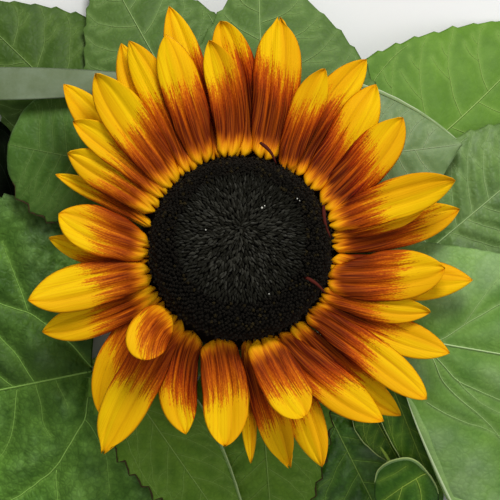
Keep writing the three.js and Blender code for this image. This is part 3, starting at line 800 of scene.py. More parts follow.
def leaf_materials(name, codes):
    """Leaf skin for a blade's upper side and for its underside, which is paler."""
    # Rough hairy skin. To the eye it is nearly matt, with a fine net of sunken lines darkened as
    # painted shade, painted sheen on its crests, painted shade in the wells between them and a paler
    # line along each vein.
    made = []
    # bloom is how strongly painted sheen pales the crests.
    blade, shade, vein, shine, bloom, net_depth = codes
    for side in ("upper", "under"):
        material, tree, shader = new_material(f"{name} leaf {side} side", 0.52 - 0.3 * shine, shine)
        node = partial(add_node, tree)
        read = {key: node(ATTRIBUTE, attribute_name=key)["Fac"] for key in ("painted_well_shade", "crest", "rib")}

        spot = node(COORDINATES)["Object"]
        warp = node(NOISE, {"Vector": spot, "Scale": 1 / (NET_BEND * MM), "Detail": 2.0})["Color"]
        bent = node(MIX, {0: 0.0012, 4: spot, 5: warp}, data_type="VECTOR")[1]
        cells = node("ShaderNodeTexVoronoi", {"Vector": bent, "Scale": 1 / (NET_MESH * MM)},
                     feature="DISTANCE_TO_EDGE")["Distance"]
        net_and_shade = node(RANGE, (cells, 0.0, 0.16, 1.0, 0.0))[0]
        mottle = node(NOISE, {"Vector": spot, "Scale": 1 / (LEAF_MOTTLE * MM), "Detail": 6.0,
                              "Roughness": 0.65})["Fac"]

        # Each layer covers the ones before it: its strength at each point, its most and its colour.
        crest = node("POWER", (read["crest"], 2.0))[0]
        layers = [
            # Painted shade in the wells.
            (read["painted_well_shade"], 0.7, between(shade, BLACK, 0.5)),
            # Painted sheen: the crests pale towards a painted highlight colour.
            (crest, bloom, PAINTED_SHEEN),
            (read["rib"], 0.4, between(blade, vein, 0.65)),
            # The net's sunken lines, darkened as painted shade.
            (net_and_shade, net_depth * 0.6, between(shade, BLACK, 0.3)),
        ]
        patch = node(RANGE, (mottle, 0.35, 0.65))[0]
        colour = node(MIX, {0: patch, 6: linear(shade), 7: linear(blade)}, data_type="RGBA")[2]
        for strength, most, code in layers:
            share = node("MULTIPLY", (strength, most))[0]
            colour = node(MIX, {0: share, 6: colour, 7: linear(code)}, data_type="RGBA")[2]
        if side == "under":
            colour = node(MIX, {0: 0.35, 6: colour, 7: linear(UNDERSIDE_LIGHT)}, data_type="RGBA")[2]
        tree.links.new(colour, shader.inputs["Base Color"])

        pillow = node(RANGE, (cells, 0.0, 0.4), interpolation_type="SMOOTHSTEP")[0]
        relief = node(BUMP, {"Height": pillow, "Strength": net_depth, "Distance": NET_DEPTH * MM})[0]
        tree.links.new(relief, shader.inputs["Normal"])
        made.append(material)
    return made


def plain_material(name, finish=None):
    """One even colour, for the small joined things."""
    code, roughness = finish or PLAIN_FINISHES[name]
    material, _, shader = new_material(name, roughness, PLAIN_SHINE)
    shader.inputs["Base Color"].default_value = linear(code)
    return material


def stem_material(name):
    """Matt stem tissue, mottled and finely grained."""
    code, shade = STEM_FINISHES[name]
    material, tree, shader = new_material(name, *STEM_GLOSS)
    node = partial(add_node, tree)
    spot = node(COORDINATES)["Object"]
    mottle = node(NOISE, {"Vector": spot, "Scale": 1 / (STEM_MOTTLE * MM), "Detail": 4.0})["Fac"]
    colour = node(MIX, {0: mottle, 6: linear(shade), 7: linear(code)}, data_type="RGBA")[2]
    grain = node(NOISE, {"Vector": spot, "Scale": 1 / (STEM_GRAIN * MM), "Detail": 3.0})["Fac"]
    bump = node(BUMP, {"Height": grain, "Strength": 0.3, "Distance": GRAIN_DEPTH * MM})[0]
    tree.links.new(colour, shader.inputs["Base Color"])
    tree.links.new(bump, shader.inputs["Normal"])
    return material


# Petals.

def throw(dice, key):
    """The next random number between the two limits of one of the petals' chances."""
    return dice.uniform(*PETAL_CHANCES[key])


def petal_half_widths(number, width, length, u, dice):
    """A petal's half widths along its rows, and how its nose swells at the root."""
    arched = number in ARCHED_PETALS
    notched = number in NOTCHED_PETALS
    power = NOTCHED_POINT if notched else throw(dice, "point")
    blunt = TIP_BLUNTNESS.get(number, TIP_BLUNTNESS_ELSE)
    start = ROOT_SHARES.get(number, ROOT_SHARE_ELSE)
    share = width_share(u, start, PETAL_WIDEST, power) ** np.where(u > PETAL_WIDEST, blunt, 1)
    nose_length = 0.5 * width * start if arched else 1.0 + 0.28 * width * start
    nose = np.sqrt(1 - (1 - np.clip(u * length / nose_length, 0, 1)) ** 2)
    flat_share = 0.06 if arched else 0.25
    swell = 1 + 0.14 * (1 - smoothstep(0.0, 0.14, u))
    half = width / 2 * share * swell * (flat_share + (1 - flat_share) * nose)
    return np.maximum(0.9 if notched else 0.1, half), nose


def petal_plan(row, number, dice):
    """A petal in plan: its points, its grid's shares, and the forms of its root and edges."""
    base, end, tip_radius, width, bow, *_ = row
    arched = number in ARCHED_PETALS

    # The middle line, and the grid, whose rows are closer together at the root.
    root = polar(PETAL_BASE_RADIUS + throw(dice, "root") + ARCHED_ROOT_STEP * arched, base)
    tip = polar(tip_radius, end)
    straight = tip - root
    length = np.linalg.norm(straight)
    left = unit(np.array([-straight[1], straight[0]]))
    handle = root + (straight + polar(length, base)) * PETAL_HANDLE / 2 + left * 2 * bow
    rows = np.linspace(0, 1, PETAL_ROWS) ** PETAL_ROW_POWER
    columns = np.linspace(-1, 1, PETAL_COLUMNS)
    u, v = np.meshgrid(rows, columns, indexing="ij")
    spine, along = bezier([root, handle, tip], rows)
    past = u * length

    # A slightly lopsided and wandering edge, and two lobes at a notched tip.
    half, nose = petal_half_widths(number, width, length, rows, dice)
    wander = roughness_at(np.stack([past, np.sign(v) * 9], -1), EDGE_WANDER_SIZE, number)
    skew = 0.1 * math.sin(number * 2.6) * np.sin(np.pi * u) * np.sign(v)
    reach = v * half[:, None] * (1 + skew)
    reach = reach + EDGE_WANDER * wander * v * smoothstep(0.2, 0.5, 1 - u)
    side = np.stack([-along[:, 1], along[:, 0]], -1)
    place = spine[:, None] + side[:, None] * reach[..., None]
    if number in NOTCHED_PETALS:
        lobes = NOTCH_DEPTH * np.sin(np.pi * np.abs(columns)) * smoothstep(0.86, 1, rows)[:, None]
        place = place + along[:, None] * lobes[..., None]

    # One or two knuckles at the root, set back between them, and a dimple in an arched root.
    knuckles = 1 if arched or width < NARROW_PETAL else 2
    lobe = np.abs(np.sin(knuckles * np.pi * (v + 1) / 2)) ** 0.7
    setback = (0.8 if arched else 1.7) * (1 - lobe) * np.exp(-past / 2.5)
    dimple = np.exp(-(v / 0.16) ** 2 - past / 1.6) * arched
    place = place + along[:, None] * (setback + 0.9 * dimple)[..., None]
    return place, u, v, past, half, nose, lobe, dimple


def petal_height(row, number, plan, crease, dice):
    """A petal's height over its plan, and how its creases lie."""
    _, _, _, width, _, layer, _, _, stand = row
    place, u, v, past, _, nose, lobe, _ = plan

    # The layer's slope and arch, and two creases.
    out = np.linalg.norm(place, axis=-1) - PETAL_BASE_RADIUS
    slope = PETAL_FIRST_SLOPE + PETAL_SLOPE_STEP * layer + stand
    height = PETAL_FIRST_HEIGHT + PETAL_LAYER_STEP * layer + slope * out - PETAL_ARCH * out * out
    shift = throw(dice, "shift")
    fold = np.abs(np.cos(1.5 * np.pi * (v + shift * (1 - u))))
    fade = smoothstep(0.0, 0.1, u) * (1 - 0.55 * smoothstep(0.5, 1, u))
    height += crease * throw(dice, "crease") * fade * (fold ** 0.6 - 0.6)

    # The knuckles and the grooves between them, the tip's cup, twist and curl, and ripples.
    knuckle = np.exp(-(past / KNUCKLE_LENGTH) ** 2) * (0.25 + 0.75 * nose[:, None])
    height += (KNUCKLE_HEIGHT - 0.35 * layer) * knuckle * (1 - 0.55 * v ** 2)
    height -= GROOVE_DEPTH * (1 - lobe) * np.exp(-(past / GROOVE_LENGTH) ** 2)
    height += throw(dice, "cup") * smoothstep(0.3, 1, u) * v ** 2
    height += throw(dice, "twist") * v * smoothstep(0.25, 1, u)
    height += throw(dice, "curl") * smoothstep(0.6, 1.0, u) ** 2
    height += RIPPLE_HEIGHT * roughness_at(np.stack([past, v * 5], -1), RIPPLE_SIZE, number)

    # A keel on one side, and the curled petal's fall.
    keel = dice.choice((-1, 1)) * throw(dice, "keel") * width / 14
    keel = keel * (0.5 - np.abs(v + shift)) * smoothstep(0.15, 0.45, u)
    height += keel * (1 - 0.6 * smoothstep(0.7, 1.0, u))
    if number == CURLED_PETAL:
        height -= CURL_DOWN * np.maximum(out - CURL_START, 0) ** 2
    return height, (shift, fold, fade)


def petal_numbers(row, number, plan, creases, dice):
    """The numbers that a petal's colours need, at each of its points."""
    _, end, _, _, _, _, dark_radius, depth, _ = row
    place, u, v, past, half, _, lobe, dimple = plan
    shift, fold, fade = creases
    arched = number in ARCHED_PETALS
    curled = number == CURLED_PETAL

    # Lines of painted shade in the creases and between the knuckles, and a crest either side of the
    # middle.
    strength = np.where(v < 0, throw(dice, "line"), throw(dice, "line"))
    line = strength * np.clip(1 - fold / 0.14, 0, 1) * fade * (np.abs(v) < 0.75)
    spread = throw(dice, "crest")
    line = np.maximum(line, (1 - lobe) ** 2 * np.exp(-(past / 4.0) ** 2) * (1 - arched) + dimple)
    crest = np.exp(-((np.abs(v + shift) - spread) / 0.055) ** 2)
    crest = crest * smoothstep(0.08, 0.2, u) * (1 - smoothstep(0.35, 0.75, u))

    # Lemon on one facet of the keel and amber on the other, as painted light and shade, and a band
    # that reaches further at the hem and may end aslant.
    rightward = math.cos(math.radians(end))
    lean = 0.45 + 0.2 * rightward + throw(dice, "lean")
    facet_shading = 0.4 * dice.choice((-1, 1)) * np.tanh((v - 2 * shift) / 0.07)
    hem = smoothstep(0.72, 1.0, np.abs(v)) * (1 - smoothstep(0.5, 0.9, u))
    slant = throw(dice, "slant") * v
    if curled:
        slant = 10.0 * smoothstep(0.2, 0.9, -v)
    out = np.linalg.norm(place, axis=-1) - dark_radius
    band = out + throw(dice, "streak") * crest - 4.0 * hem + slant
    gold = past - throw(dice, "gold") + 1.5 * (1 - v ** 2) + 3.0 * curled
    return {
        "along": past,
        "across": v * half[:, None],
        "petal": np.full(u.shape, number * 3.7),
        "band": band,
        "depth": np.full(u.shape, depth),
        "warmth_and_facet_shading": np.clip(lean + facet_shading * smoothstep(0.1, 0.4, u), 0, 1),
        "ridge": crest,
        "crease": line,
        "gold": gold - 2.5 * max(0.0, -rightward),
        "rim": smoothstep(0.82, 1.0, np.maximum(np.abs(v), u ** 3)),
    }


def petal_surface(row, number, settings):
    """The upper surface of a petal as a grid of points, with the numbers its colours need."""
    dice = np.random.default_rng(settings.seed + number)
    plan = petal_plan(row, number, dice)
    height, creases = petal_height(row, number, plan, settings.crease, dice)
    numbers = petal_numbers(row, number, plan, creases, dice)
    place, *_ = plan
    return np.concatenate([place, height[..., None]], -1), numbers


# Leaves.

def leaf_height(place, level):
    """Height of a blade's midrib at a place in plan, on the dome that all leaves share."""
    reach = np.hypot(place[..., 0] / LEAF_DOME_REACH_X, place[..., 1] / LEAF_DOME_REACH_Y)
    fall = smoothstep(LEAF_DOME_FLAT_SHARE, 1, reach)
    step = LEAF_LEVEL_INNER + (LEAF_LEVEL_OUTER - LEAF_LEVEL_INNER) * fall
    return LEAF_THICKNESS / 2 + LEAF_CAMBER + LEAF_DOME_HEIGHT * (1 - fall) + step * level


def cell_middle(points, size, seed):
    """How far each point is from the borders of cells of about the given size, from 0 to 1."""
    flat = points.reshape(-1, 2) / size
    near = [noise.voronoi(Vector((x + seed * 7.7, y, seed * 3.1)))[0] for x, y in flat]
    away = np.array([distances[1] - distances[0] for distances in near])
    return np.clip(away.reshape(points.shape[:-1]) / 0.4, 0, 1)


def vein_routes(leaf):
    """Routes of the veins as points (u, v) on the blade, with the size of each."""
    if not leaf["veins"]:
        return []
    routes = [(np.array([(t, 0.0) for t in np.linspace(0, 0.985, 40)]),
               VEIN_SIZES["midrib"])]
    if leaf["lines"]:
        return routes
    t = np.linspace(0, 1, 24)

    def branch(kind, foot, end, sag, count):
        """Adds a thin vein from foot to end that sags towards the blade's root."""
        route = foot + (end - foot) * t[:, None]
        route[:, 0] -= sag * t * (1 - t)
        routes.append((route[:count], VEIN_SIZES[kind]))

    for side in (-1, 1):
        # A basal vein with branches towards the lobe.
        starts, drops = np.transpose(BASAL_BRANCHES)
        basal, feet = (np.stack([0.02 + 0.07 * at + 0.45 * at ** 2, side * 0.94 * at ** 0.9], -1)
                       for at in (t, starts))
        routes.append((basal, VEIN_SIZES["basal"]))
        for foot, drop in zip(feet, drops):
            end = np.array([max(0.02, foot[0] - drop + 0.03), side * 0.97])
            branch("branch", foot, end, 0.08, 24)
        # Side veins, taking turns on the two sides, with two twigs each.
        for number in range(leaf["veins"]):
            start = 0.14 + 0.7 * (number + (0.4 if side > 0 else 0)) / leaf["veins"]
            lean = 0.34 * (1 - start) + 0.04
            route = np.stack([start + lean * (0.8 * t + 0.2 * t ** 2), side * 0.95 * t], -1)
            routes.append((route, VEIN_SIZES["side"]))
            for share in TWIG_STARTS:
                foot = route[int(share * 23)]
                end = foot + np.array([lean * 0.16, side * (0.96 - abs(foot[1])) * 0.75])
                branch("twig", foot, end, 0.05, 18)
    return routes


def leaf_margin(leaf, u, length, dice):
    """A blade's half widths on its right and left, with its teeth."""
    share = width_share(u, leaf["root"], leaf["widest"], leaf["point"])
    share = share ** np.where(u > 0.5, leaf["blunt"], 1.0)
    margin = np.maximum(0.5, share[:, None] * leaf["sides"])
    dried = [side for side, *_ in leaf["dry"]]
    for column in (0, 1):
        teeth = u * length / TOOTH_LENGTH + dice.uniform(0, 1)
        size = leaf["teeth"] * dice.uniform(0.4, 1.3, 400)[(teeth // 1).astype(int)]
        if 2 * column - 1 in dried:
            size = size * DRY_RAGGEDNESS
        elif leaf["folds"]:
            size = size * FOLDED_RAGGEDNESS
        tooth = ((teeth % 1) ** 1.5 - 0.4) * size * smoothstep(0, 0.08, 1 - u)
        margin[:, column] = np.maximum(0.2, margin[:, column] + tooth)
    return margin


def vein_lines(leaf, number, place):
    """A blade's veins as rows and columns of its grid, with the size of each."""
    rows, columns = place.shape[:2]
    lines = []
    for route, size in vein_routes(leaf):
        wander = 0.012 * roughness_at(route * (1, 0.7) + size, 0.16, number)
        route = route + np.stack([wander * 0.6, wander * 2 * np.abs(route[:, 1])], -1)
        lines.append((route[:, 0] * (rows - 1), (route[:, 1] + 1) / 2 * (columns - 1), size))
    for size, *line in leaf["lines"]:
        lines.append((*on_grid(place, np.array(line)), size))
    return lines


def vein_gaps(place, veins):
    """How far each point of a blade is from its nearest main vein, and from any vein."""
    gap = np.full(place.shape[:2], 1e9)
    twig_gap = gap
    for row, column, size in veins:
        for spot in sample(place, row, column):
            away = np.hypot(place[..., 0] - spot[0], place[..., 1] - spot[1])
            twig_gap = np.minimum(twig_gap, away)
            if size > TWIG_SIZE:
                gap = np.minimum(gap, away)
    return gap, twig_gap


def leaf_relief(leaf, number, place, u, v, length, veins):
    """A blade's height, vaulted up between its veins in large and small cells, and its numbers."""
    gap, twig_gap = vein_gaps(place, veins)
    wander = [roughness_at(place, 7.0, number + seed) for seed in (80, 90)]
    wander = QUILT_WANDER * np.stack(wander, -1)
    cells = leaf["cells"]
    large = 1 - cells * (1 - cell_middle(place + wander, QUILT_CELL, number) ** 0.6)
    small = cell_middle(place + wander * 0.7, QUILT_SMALL_CELL, number + 9) ** 0.4
    small = 1 - cells * (1 - small)
    vault = 1 - np.exp(-(gap / QUILT_REACH) ** 1.5)
    dent = np.exp(-(twig_gap / 1.1) ** 2)
    wave = WAVE[0] * np.sin(u * length / WAVE[1] + number) * np.abs(v) ** 3
    swing = SWING[0] * roughness_at(place, SWING[1], number + 40) * np.abs(v)
    swell = SWELL[0] * roughness_at(place, SWELL[1], number + 20)
    relief = vault * (1.05 + 0.5 * large + 0.16 * small) + swell - 0.25 * dent
    height = leaf_height(place, leaf["level"]) - LEAF_CAMBER * v ** 2
    height = height + leaf["quilt"] * (1 - np.abs(v) ** 6) * relief + wave + swing

    # Painted shade: darker in the wells by the veins and between the vaulted cells.
    shade_in_wells = 0.5 * (1 - vault) + (0.6 * (1 - large) + 0.35 * (1 - small)) * vault + 0.3 * swell
    # Painted shadow on the blade's right side, strongest near the midrib.
    painted_side_shadow = leaf["painted_shadow"] * (1 + 1.5 * (1 - np.abs(v)) ** 2) * (v < 0)
    numbers = {
        "rib": np.exp(-(twig_gap / 1.0) ** 2),
        "painted_well_shade": np.clip(min(1.0, leaf["quilt"]) * shade_in_wells + painted_side_shadow, 0, 1),
        # Where painted sheen pales the raised parts.
        "crest": np.clip(vault * (0.25 + 0.75 * large) * (0.5 + 0.5 * small) + 0.7 * swell, 0, 1),
    }
    return np.maximum(height, LEAF_THICKNESS), numbers


def leaf_surface(leaf, number, settings):
    """A blade's upper surface as a grid, the numbers its colours need, and its veins' lines."""
    root = np.array(leaf["base"], float)
    tip = np.array(leaf["tip"], float)
    length = np.linalg.norm(tip - root)
    along = unit(tip - root)
    left = np.array([-along[1], along[0]])
    handle = (root + tip) / 2 + left * 2 * leaf["bow"]
    rows = np.linspace(0, 1, int(length / LEAF_CELL) + 8)
    columns = int(sum(leaf["sides"]) / LEAF_CELL / 1.1) // 2 * 2 + 5
    u, v = np.meshgrid(rows, np.linspace(-1, 1, columns), indexing="ij")
    midrib, _ = bezier([root, handle, tip], rows)
    margin = leaf_margin(leaf, rows, length, np.random.default_rng(settings.seed + 100 + number))
    reach = np.where(v < 0, margin[:, :1], margin[:, 1:])
    lobe = np.where(v < 0, *leaf["lobe"])
    back = lobe * np.abs(v) ** leaf["round"] * (1 - u) ** 2
    place = midrib[:, None] + left * (v * reach)[..., None] - along * back[..., None]
    veins = vein_lines(leaf, number, place)
    height, numbers = leaf_relief(leaf, number, place, u, v, length, veins)
    return np.concatenate([place, height[..., None]], -1), numbers, veins


def sample(grid, row, column):
    """Values of a grid between its points, at fractional rows and columns."""
    row = np.clip(row, 0, grid.shape[0] - 1.001)
    column = np.clip(column, 0, grid.shape[1] - 1.001)
    r, c = row.astype(int), column.astype(int)
    a, b = (row - r)[:, None], (column - c)[:, None]
    return ((grid[r, c] * (1 - a) + grid[r + 1, c] * a) * (1 - b)
            + (grid[r, c + 1] * (1 - a) + grid[r + 1, c + 1] * a) * b)


def on_grid(place, line):
    """Smooth rows and columns of a blade's grid along a line of points in plan."""
    steps = np.append(0, np.cumsum(np.linalg.norm(np.diff(line, axis=0), axis=1)))
    spots = zip(*spread_over(steps, int(steps[-1]) + 4, line[:, 0], line[:, 1]))
    near = [np.argmin(np.hypot(place[..., 0] - x, place[..., 1] - y)) for x, y in spots]
    cells = np.stack(np.unravel_index(near, place.shape[:2]), -1).astype(float)
    for _ in range(LINE_ROUNDS):
        cells = smoothed(cells)
    return cells[:, 0], cells[:, 1]


def on_blade(surface, route, count):
    """Points along a route of (along, across) over a blade, evenly spread, and points inside it."""
    route = np.array(route, float)
    steps = np.append(0, np.cumsum(np.linalg.norm(np.diff(route, axis=0) * (2, 1), axis=1)))
    u, v = spread_over(steps, count, route[:, 0], route[:, 1])
    rows, columns = surface.shape[:2]
    return [sample(surface, at_u * (rows - 1), (at_v + 1) / 2 * (columns - 1))
            for at_u, at_v in ((u, v), (u + (0.4 - u) * 0.12, v * 0.88))]


def margin_fold(surface, route, width, rim):
    """A margin folded over onto the blade as a flat roll with tapered ends, and its bright rim."""
    path, inner = on_blade(surface, route, FOLD_STEPS)
    taper = np.sin(np.pi * np.linspace(0, 1, FOLD_STEPS)) ** 0.35
    radii = width / 2 * taper
    wobble = 1 + 0.22 * roughness_at(path[:, :2], 7.0, 3)
    inward = unit((inner - path) * (1, 1, 0))
    for _ in range(FOLD_ROUNDS):
        path = smoothed(path)
        inward = unit(smoothed(inward))
    path[:, 2] += 0.3 + 0.2 * radii
    made = []
    if width:
        centre = path + inward * (radii * wobble * 0.85)[:, None]
        made.append(tube(centre, np.maximum(0.15, radii * wobble), 12, 0.5))
    made.append(tube(path + (0, 0, 0.1), np.maximum(0.08, rim / 2 * taper), 6, 0.8))
    return made


def dry_margin(surface, side, start, end, seed):
    """A dried brown margin: a thin ragged strip along one edge of a blade."""
    path, inner = on_blade(surface, [(start, side), (end, side)], DRY_STEPS)
    ragged = roughness_at(path[:, :2], 1.6, seed)
    path = path + unit(inner - path) * (0.35 * ragged + 0.1)[:, None]
    radii = (0.22 + 0.24 * ragged) * np.sin(np.pi * np.linspace(0.02, 0.98, DRY_STEPS)) ** 0.3
    path[:, 2] += 0.15
    return tube(path, np.maximum(0.1, radii), 6, 0.6)


def vein_tubes(leaf, surface, routes, step):
    """A blade's veins as raised threads that thin out, with which of the two colours each has."""
    scale = 0.25 + 0.4 * min(sum(leaf["sides"]) / 70, 1.3)
    parts = []
    for row, column, size in routes:
        steps = np.linalg.norm(np.diff(sample(surface, row, column), axis=0), axis=1)
        count = max(6, int(steps.sum() / step))
        path = sample(surface, *spread_over(np.linspace(0, 1, len(row)), count, row, column))
        path[1:-1, 2] = np.maximum(path[1:-1, 2], np.maximum(path[:-2, 2], path[2:, 2]))
        for _ in range(VEIN_ROUNDS):
            path = smoothed(path)
        radii = VEIN_RADIUS * size * scale * (1 - 0.75 * np.linspace(0, 1, count))
        parts.append((tube(path + (0, 0, VEIN_LIFT), np.maximum(0.05, radii), 5, 0.6),
                      int(size <= MAIN_VEIN_SIZE)))
    return parts


def stalk(leaf, surface):
    """A leaf's stalk, from the neck to just inside the blade."""
    sink = leaf["sink"]
    join = surface[int((0.3 if sink else 0.06) * surface.shape[0]), surface.shape[1] // 2]
    root = np.array(leaf["base"], float)
    second = np.append(root * 0.75, leaf_height(root, leaf["level"]) - sink)
    first = np.append(root * 0.35, leaf["node"] + 2)
    path, _ = bezier([neck_point(leaf["node"]), first, second, join - (0, 0, 1.5)],
                     np.linspace(0, 1, STALK_STEPS))
    thick = min(1.0, max(0.45, sum(leaf["sides"]) / 50))
    return tube(path, np.linspace(*STALK_RADII, STALK_STEPS) * thick, 10)


# Stem.

def neck_point(height):
    """The middle of the neck at a height."""
    t = min(1.0, math.sqrt((height - STEM_RADIUS) / BEND_RADIUS))
    place = polar(BEND_RADIUS * (1 - t) ** 2, STEM_BEARING)
    return np.array([place[0], place[1], height])


def stem_path():
    """The stem's centre line, from its cut end to the top of the neck."""
    bend_top = STEM_RADIUS + BEND_RADIUS
    corners = [(BEND_RADIUS, STEM_RADIUS), (0, STEM_RADIUS), (0, bend_top)]
    bend, _ = bezier(corners, np.linspace(0, 1, 16)[1:])
    way = [(reach, STEM_RADIUS) for reach in np.linspace(STEM_REACH, BEND_RADIUS, 40)]
    way += [*bend, *((0, height) for height in np.linspace(bend_top, NECK_TOP, 5)[1:])]
    out = polar(1.0, STEM_BEARING)
    return np.array([(out[0] * reach, out[1] * reach, height) for reach, height in way])


# Settings.

class PetalSettings(bpy.types.PropertyGroup):
    """Sizes of the petals."""

    thickness: FloatProperty(name="Thickness", description="Thickness of a petal, in mm",
                             default=0.35, min=0.1, max=1.0)
    crease: FloatProperty(name="Crease", description="Depth of the creases along a petal, in mm",
                          default=0.95, min=0.0, max=2.0)
    seed: IntProperty(name="Seed", description="Seed of the petals' small differences", default=11)


class LeafSettings(bpy.types.PropertyGroup):
    """Sizes of the leaves."""

    thickness: FloatProperty(name="Thickness", description="Thickness of a blade, in mm",
                             default=0.5, min=0.2, max=2.0)
    vein_step: FloatProperty(name="Vein step", description="Distance between a vein's rings, in mm",
                             default=1.0, min=0.3, max=5.0)
    seed: IntProperty(name="Seed", description="Seed of the leaves' small differences", default=5)


class DiscSettings(bpy.types.PropertyGroup):
    """Sizes of the seed disc."""

    pitch: FloatProperty(name="Pitch", description="Distance between florets, in mm",
                         default=1.12, min=0.5, max=3.0)
    bud_radius: FloatProperty(name="Bud radius", description="Radius of the closed buds, in mm",
                              default=22.0, min=5.0, max=30.0)
    radius: FloatProperty(name="Radius", description="Radius of the whole disc, in mm",
                          default=31.4, min=10.0, max=40.0)
    seed: IntProperty(name="Seed", description="Seed of the florets' small differences", default=3)


class StageSettings(bpy.types.PropertyGroup):
    """The floor, the lights and the camera."""

    floor_colour: FloatVectorProperty(name="Floor", description="Colour of the floor", size=4,
                                      subtype="COLOR", default=linear("#f0f0ed"), min=0, max=1)
    distance: FloatProperty(name="Distance", description="Camera's distance above the petals",
                            default=4.0, unit="LENGTH")
    field: FloatProperty(name="Field", description="Width of the view at the petals",
                         default=0.1705, unit="LENGTH")


# Operators.

class SUNFLOWER_OT_petals(bpy.types.Operator):
    """Make the petals"""

    bl_idname = "sunflower.petals"
    bl_label = "Petals"

    def execute(self, context):
        settings = context.scene.sunflower_petals
        material = petal_material()
        for number, row in enumerate(PETALS, 1):
            surface, numbers = petal_surface(row, number, settings)
            add_shell(f"ray_petal_{number:02d}", surface, settings.thickness, numbers, [material],
                      "petal", [f"petal_{number:02d}"])
        return {"FINISHED"}


class SUNFLOWER_OT_leaves(bpy.types.Operator):
    """Make the leaves with their veins and stalks"""

    bl_idname = "sunflower.leaves"
    bl_label = "Leaves"

    def execute(self, context):
        settings = context.scene.sunflower_leaves
        brown = plain_material("dried leaf margin")
        skins = {}
        for name, codes in LEAF_FINISHES.items():
            # Smooth juicy threads, paler than the blade, and a rim bright with hairs.
            threads = [("main vein", codes[2]), ("side vein", between(codes[0], codes[2], 0.75)),
                       ("leaf rim", between(codes[2], RIM_LIGHT, 0.45))]
            skins[name] = (leaf_materials(name, codes), [
                plain_material(f"{name} {part}", (code, VEIN_ROUGHNESS)) for part, code in threads])
        for number, row in enumerate(LEAVES):
            leaf = LEAF_ELSE | row
            name = leaf["name"]
            blade, (*veins, rim_skin) = skins[leaf["finish"]]
            surface, numbers, routes = leaf_surface(leaf, number, settings)
            add_shell(f"blade_{name}", surface, settings.thickness, numbers, blade, "leaf",
                      [f"leaf_{name}"])
            add_joined(f"veins_{name}", [(stalk(leaf, surface), 0),
                                         *vein_tubes(leaf, surface, routes, settings.vein_step)],
                       veins, "leaf")
            for fold in leaf["folds"]:
                *roll, rim = margin_fold(surface, *fold)
                add_joined(f"fold_{name}", [*((part, 0) for part in roll), (rim, 1)],
                           [blade[1], rim_skin], "leaf")
            for edge in leaf["dry"]:
                add_joined(f"dry_{name}", [(dry_margin(surface, *edge, number), 0)], [brown], "leaf")
        return {"FINISHED"}


class SUNFLOWER_OT_disc(bpy.types.Operator):
    """Make the seed disc with its florets"""

    bl_idname = "sunflower.disc"
    bl_label = "Seed disc"

    def execute(self, context):
        settings = context.scene.sunflower_disc
        outline = [(radius, DISC_FLOOR + height) for radius, height in CUSHION_OUTLINE]
        add_piece("disc_cushion", *turned(outline, TURNED_SEGMENTS), [plain_material("disc flesh in painted shade")],
                  "seed_disc", ["seed_disc"])
        # Florets that fill a disc of a radius at this pitch.
        per_square = 2 * math.pi / math.sqrt(3)
        closed, total = (int((radius / settings.pitch) ** 2 * per_square)
                         for radius in (settings.bud_radius, settings.radius))
        tree = floret_spiral()
        scatter("disc_buds", tree, bud_shape(), ("charcoal bud", "grey bud"), settings, 0, closed,
                BUD_SIZE, BUD_DARK_SHARE)
        scatter("disc_florets", tree, floret_shape(), ("brown floret", "olive floret"), settings,
                closed, total - closed, FLORET_SIZE, FLORET_DARK_SHARE)
        filaments = [(tube(filament(row), FILAMENT_RADII, 8), 0) for row in FILAMENTS]
        add_joined("disc_filaments", filaments, [plain_material("dried ray")], "seed_disc")
        grains = [(grain(*row), 0) for row in POLLEN_GRAINS]
        add_joined("disc_pollen", grains, [plain_material("pollen")], "seed_disc")
        return {"FINISHED"}


def filament(row):
    """The path of a dried ray that curls over the disc's edge."""
    start, end, bow, height = row
    start, end = np.array(start), np.array(end)
    side = unit(np.array([start[1] - end[1], end[0] - start[0]]))
    share = np.linspace(0, 1, 8)
    plan = start + (end - start) * share[:, None] + side * (bow * np.sin(np.pi * share))[:, None]
    lift = height + 1.6 * np.sin(np.pi * share ** 0.8)
    return np.concatenate([plan, lift[:, None]], -1)


def grain(x, y, height, radius):
    """A tiny eight-sided grain."""
    steps = [(1, 0, 0), (0, 1, 0), (-1, 0, 0), (0, -1, 0), (0, 0, 1), (0, 0, -1)]
    points = np.array([(x, y, height)]) + np.array(steps) * radius
    faces = [(0, 1, 4), (1, 2, 4), (2, 3, 4), (3, 0, 4), (1, 0, 5), (2, 1, 5), (3, 2, 5), (0, 3, 5)]
    return points, faces


def bud_shape():
    """A closed bud: a slim keeled scale that leans outwards, 1 unit long along +X."""
    points = [
        (-0.5, 0, -0.1), (-0.2, -0.2, -0.05), (0.2, -0.19, 0.0), (0.56, 0, 0.12), (0.2, 0.19, 0.0),
        (-0.2, 0.2, -0.05), (-0.15, 0, 0.16), (0.25, 0, 0.2), (0, 0, -0.5),
    ]
    faces = [
        (0, 1, 6), (1, 2, 7, 6), (2, 3, 7), (3, 4, 7), (4, 5, 6, 7), (5, 0, 6),
        (1, 0, 8), (2, 1, 8), (3, 2, 8), (4, 3, 8), (5, 4, 8), (0, 5, 8),
    ]
    return points, faces


def floret_shape():
    """An open floret: a five-lobed tube, flared at its mouth, with a style in its middle."""
    points = [(radius * math.cos((k + half) * 2 * math.pi / 5),
               radius * math.sin((k + half) * 2 * math.pi / 5), height)
              for radius, half, height in ((0.26, 0, -1.6), (0.34, 0, 0.0), (0.58, 0.5, 0.22))
              for k in range(5)]
    points.append((0.0, 0.0, 0.55))
    faces = [(k, (k + 1) % 5, 5 + (k + 1) % 5, 5 + k) for k in range(5)]
    faces += [(5 + k, 5 + (k + 1) % 5, 10 + k) for k in range(5)]
    faces += [(10 + k, 5 + (k + 1) % 5, 15) for k in range(5)]
    faces += [(5 + k, 10 + k, 15) for k in range(5)]
    faces.append((4, 3, 2, 1, 0))
    return points, faces


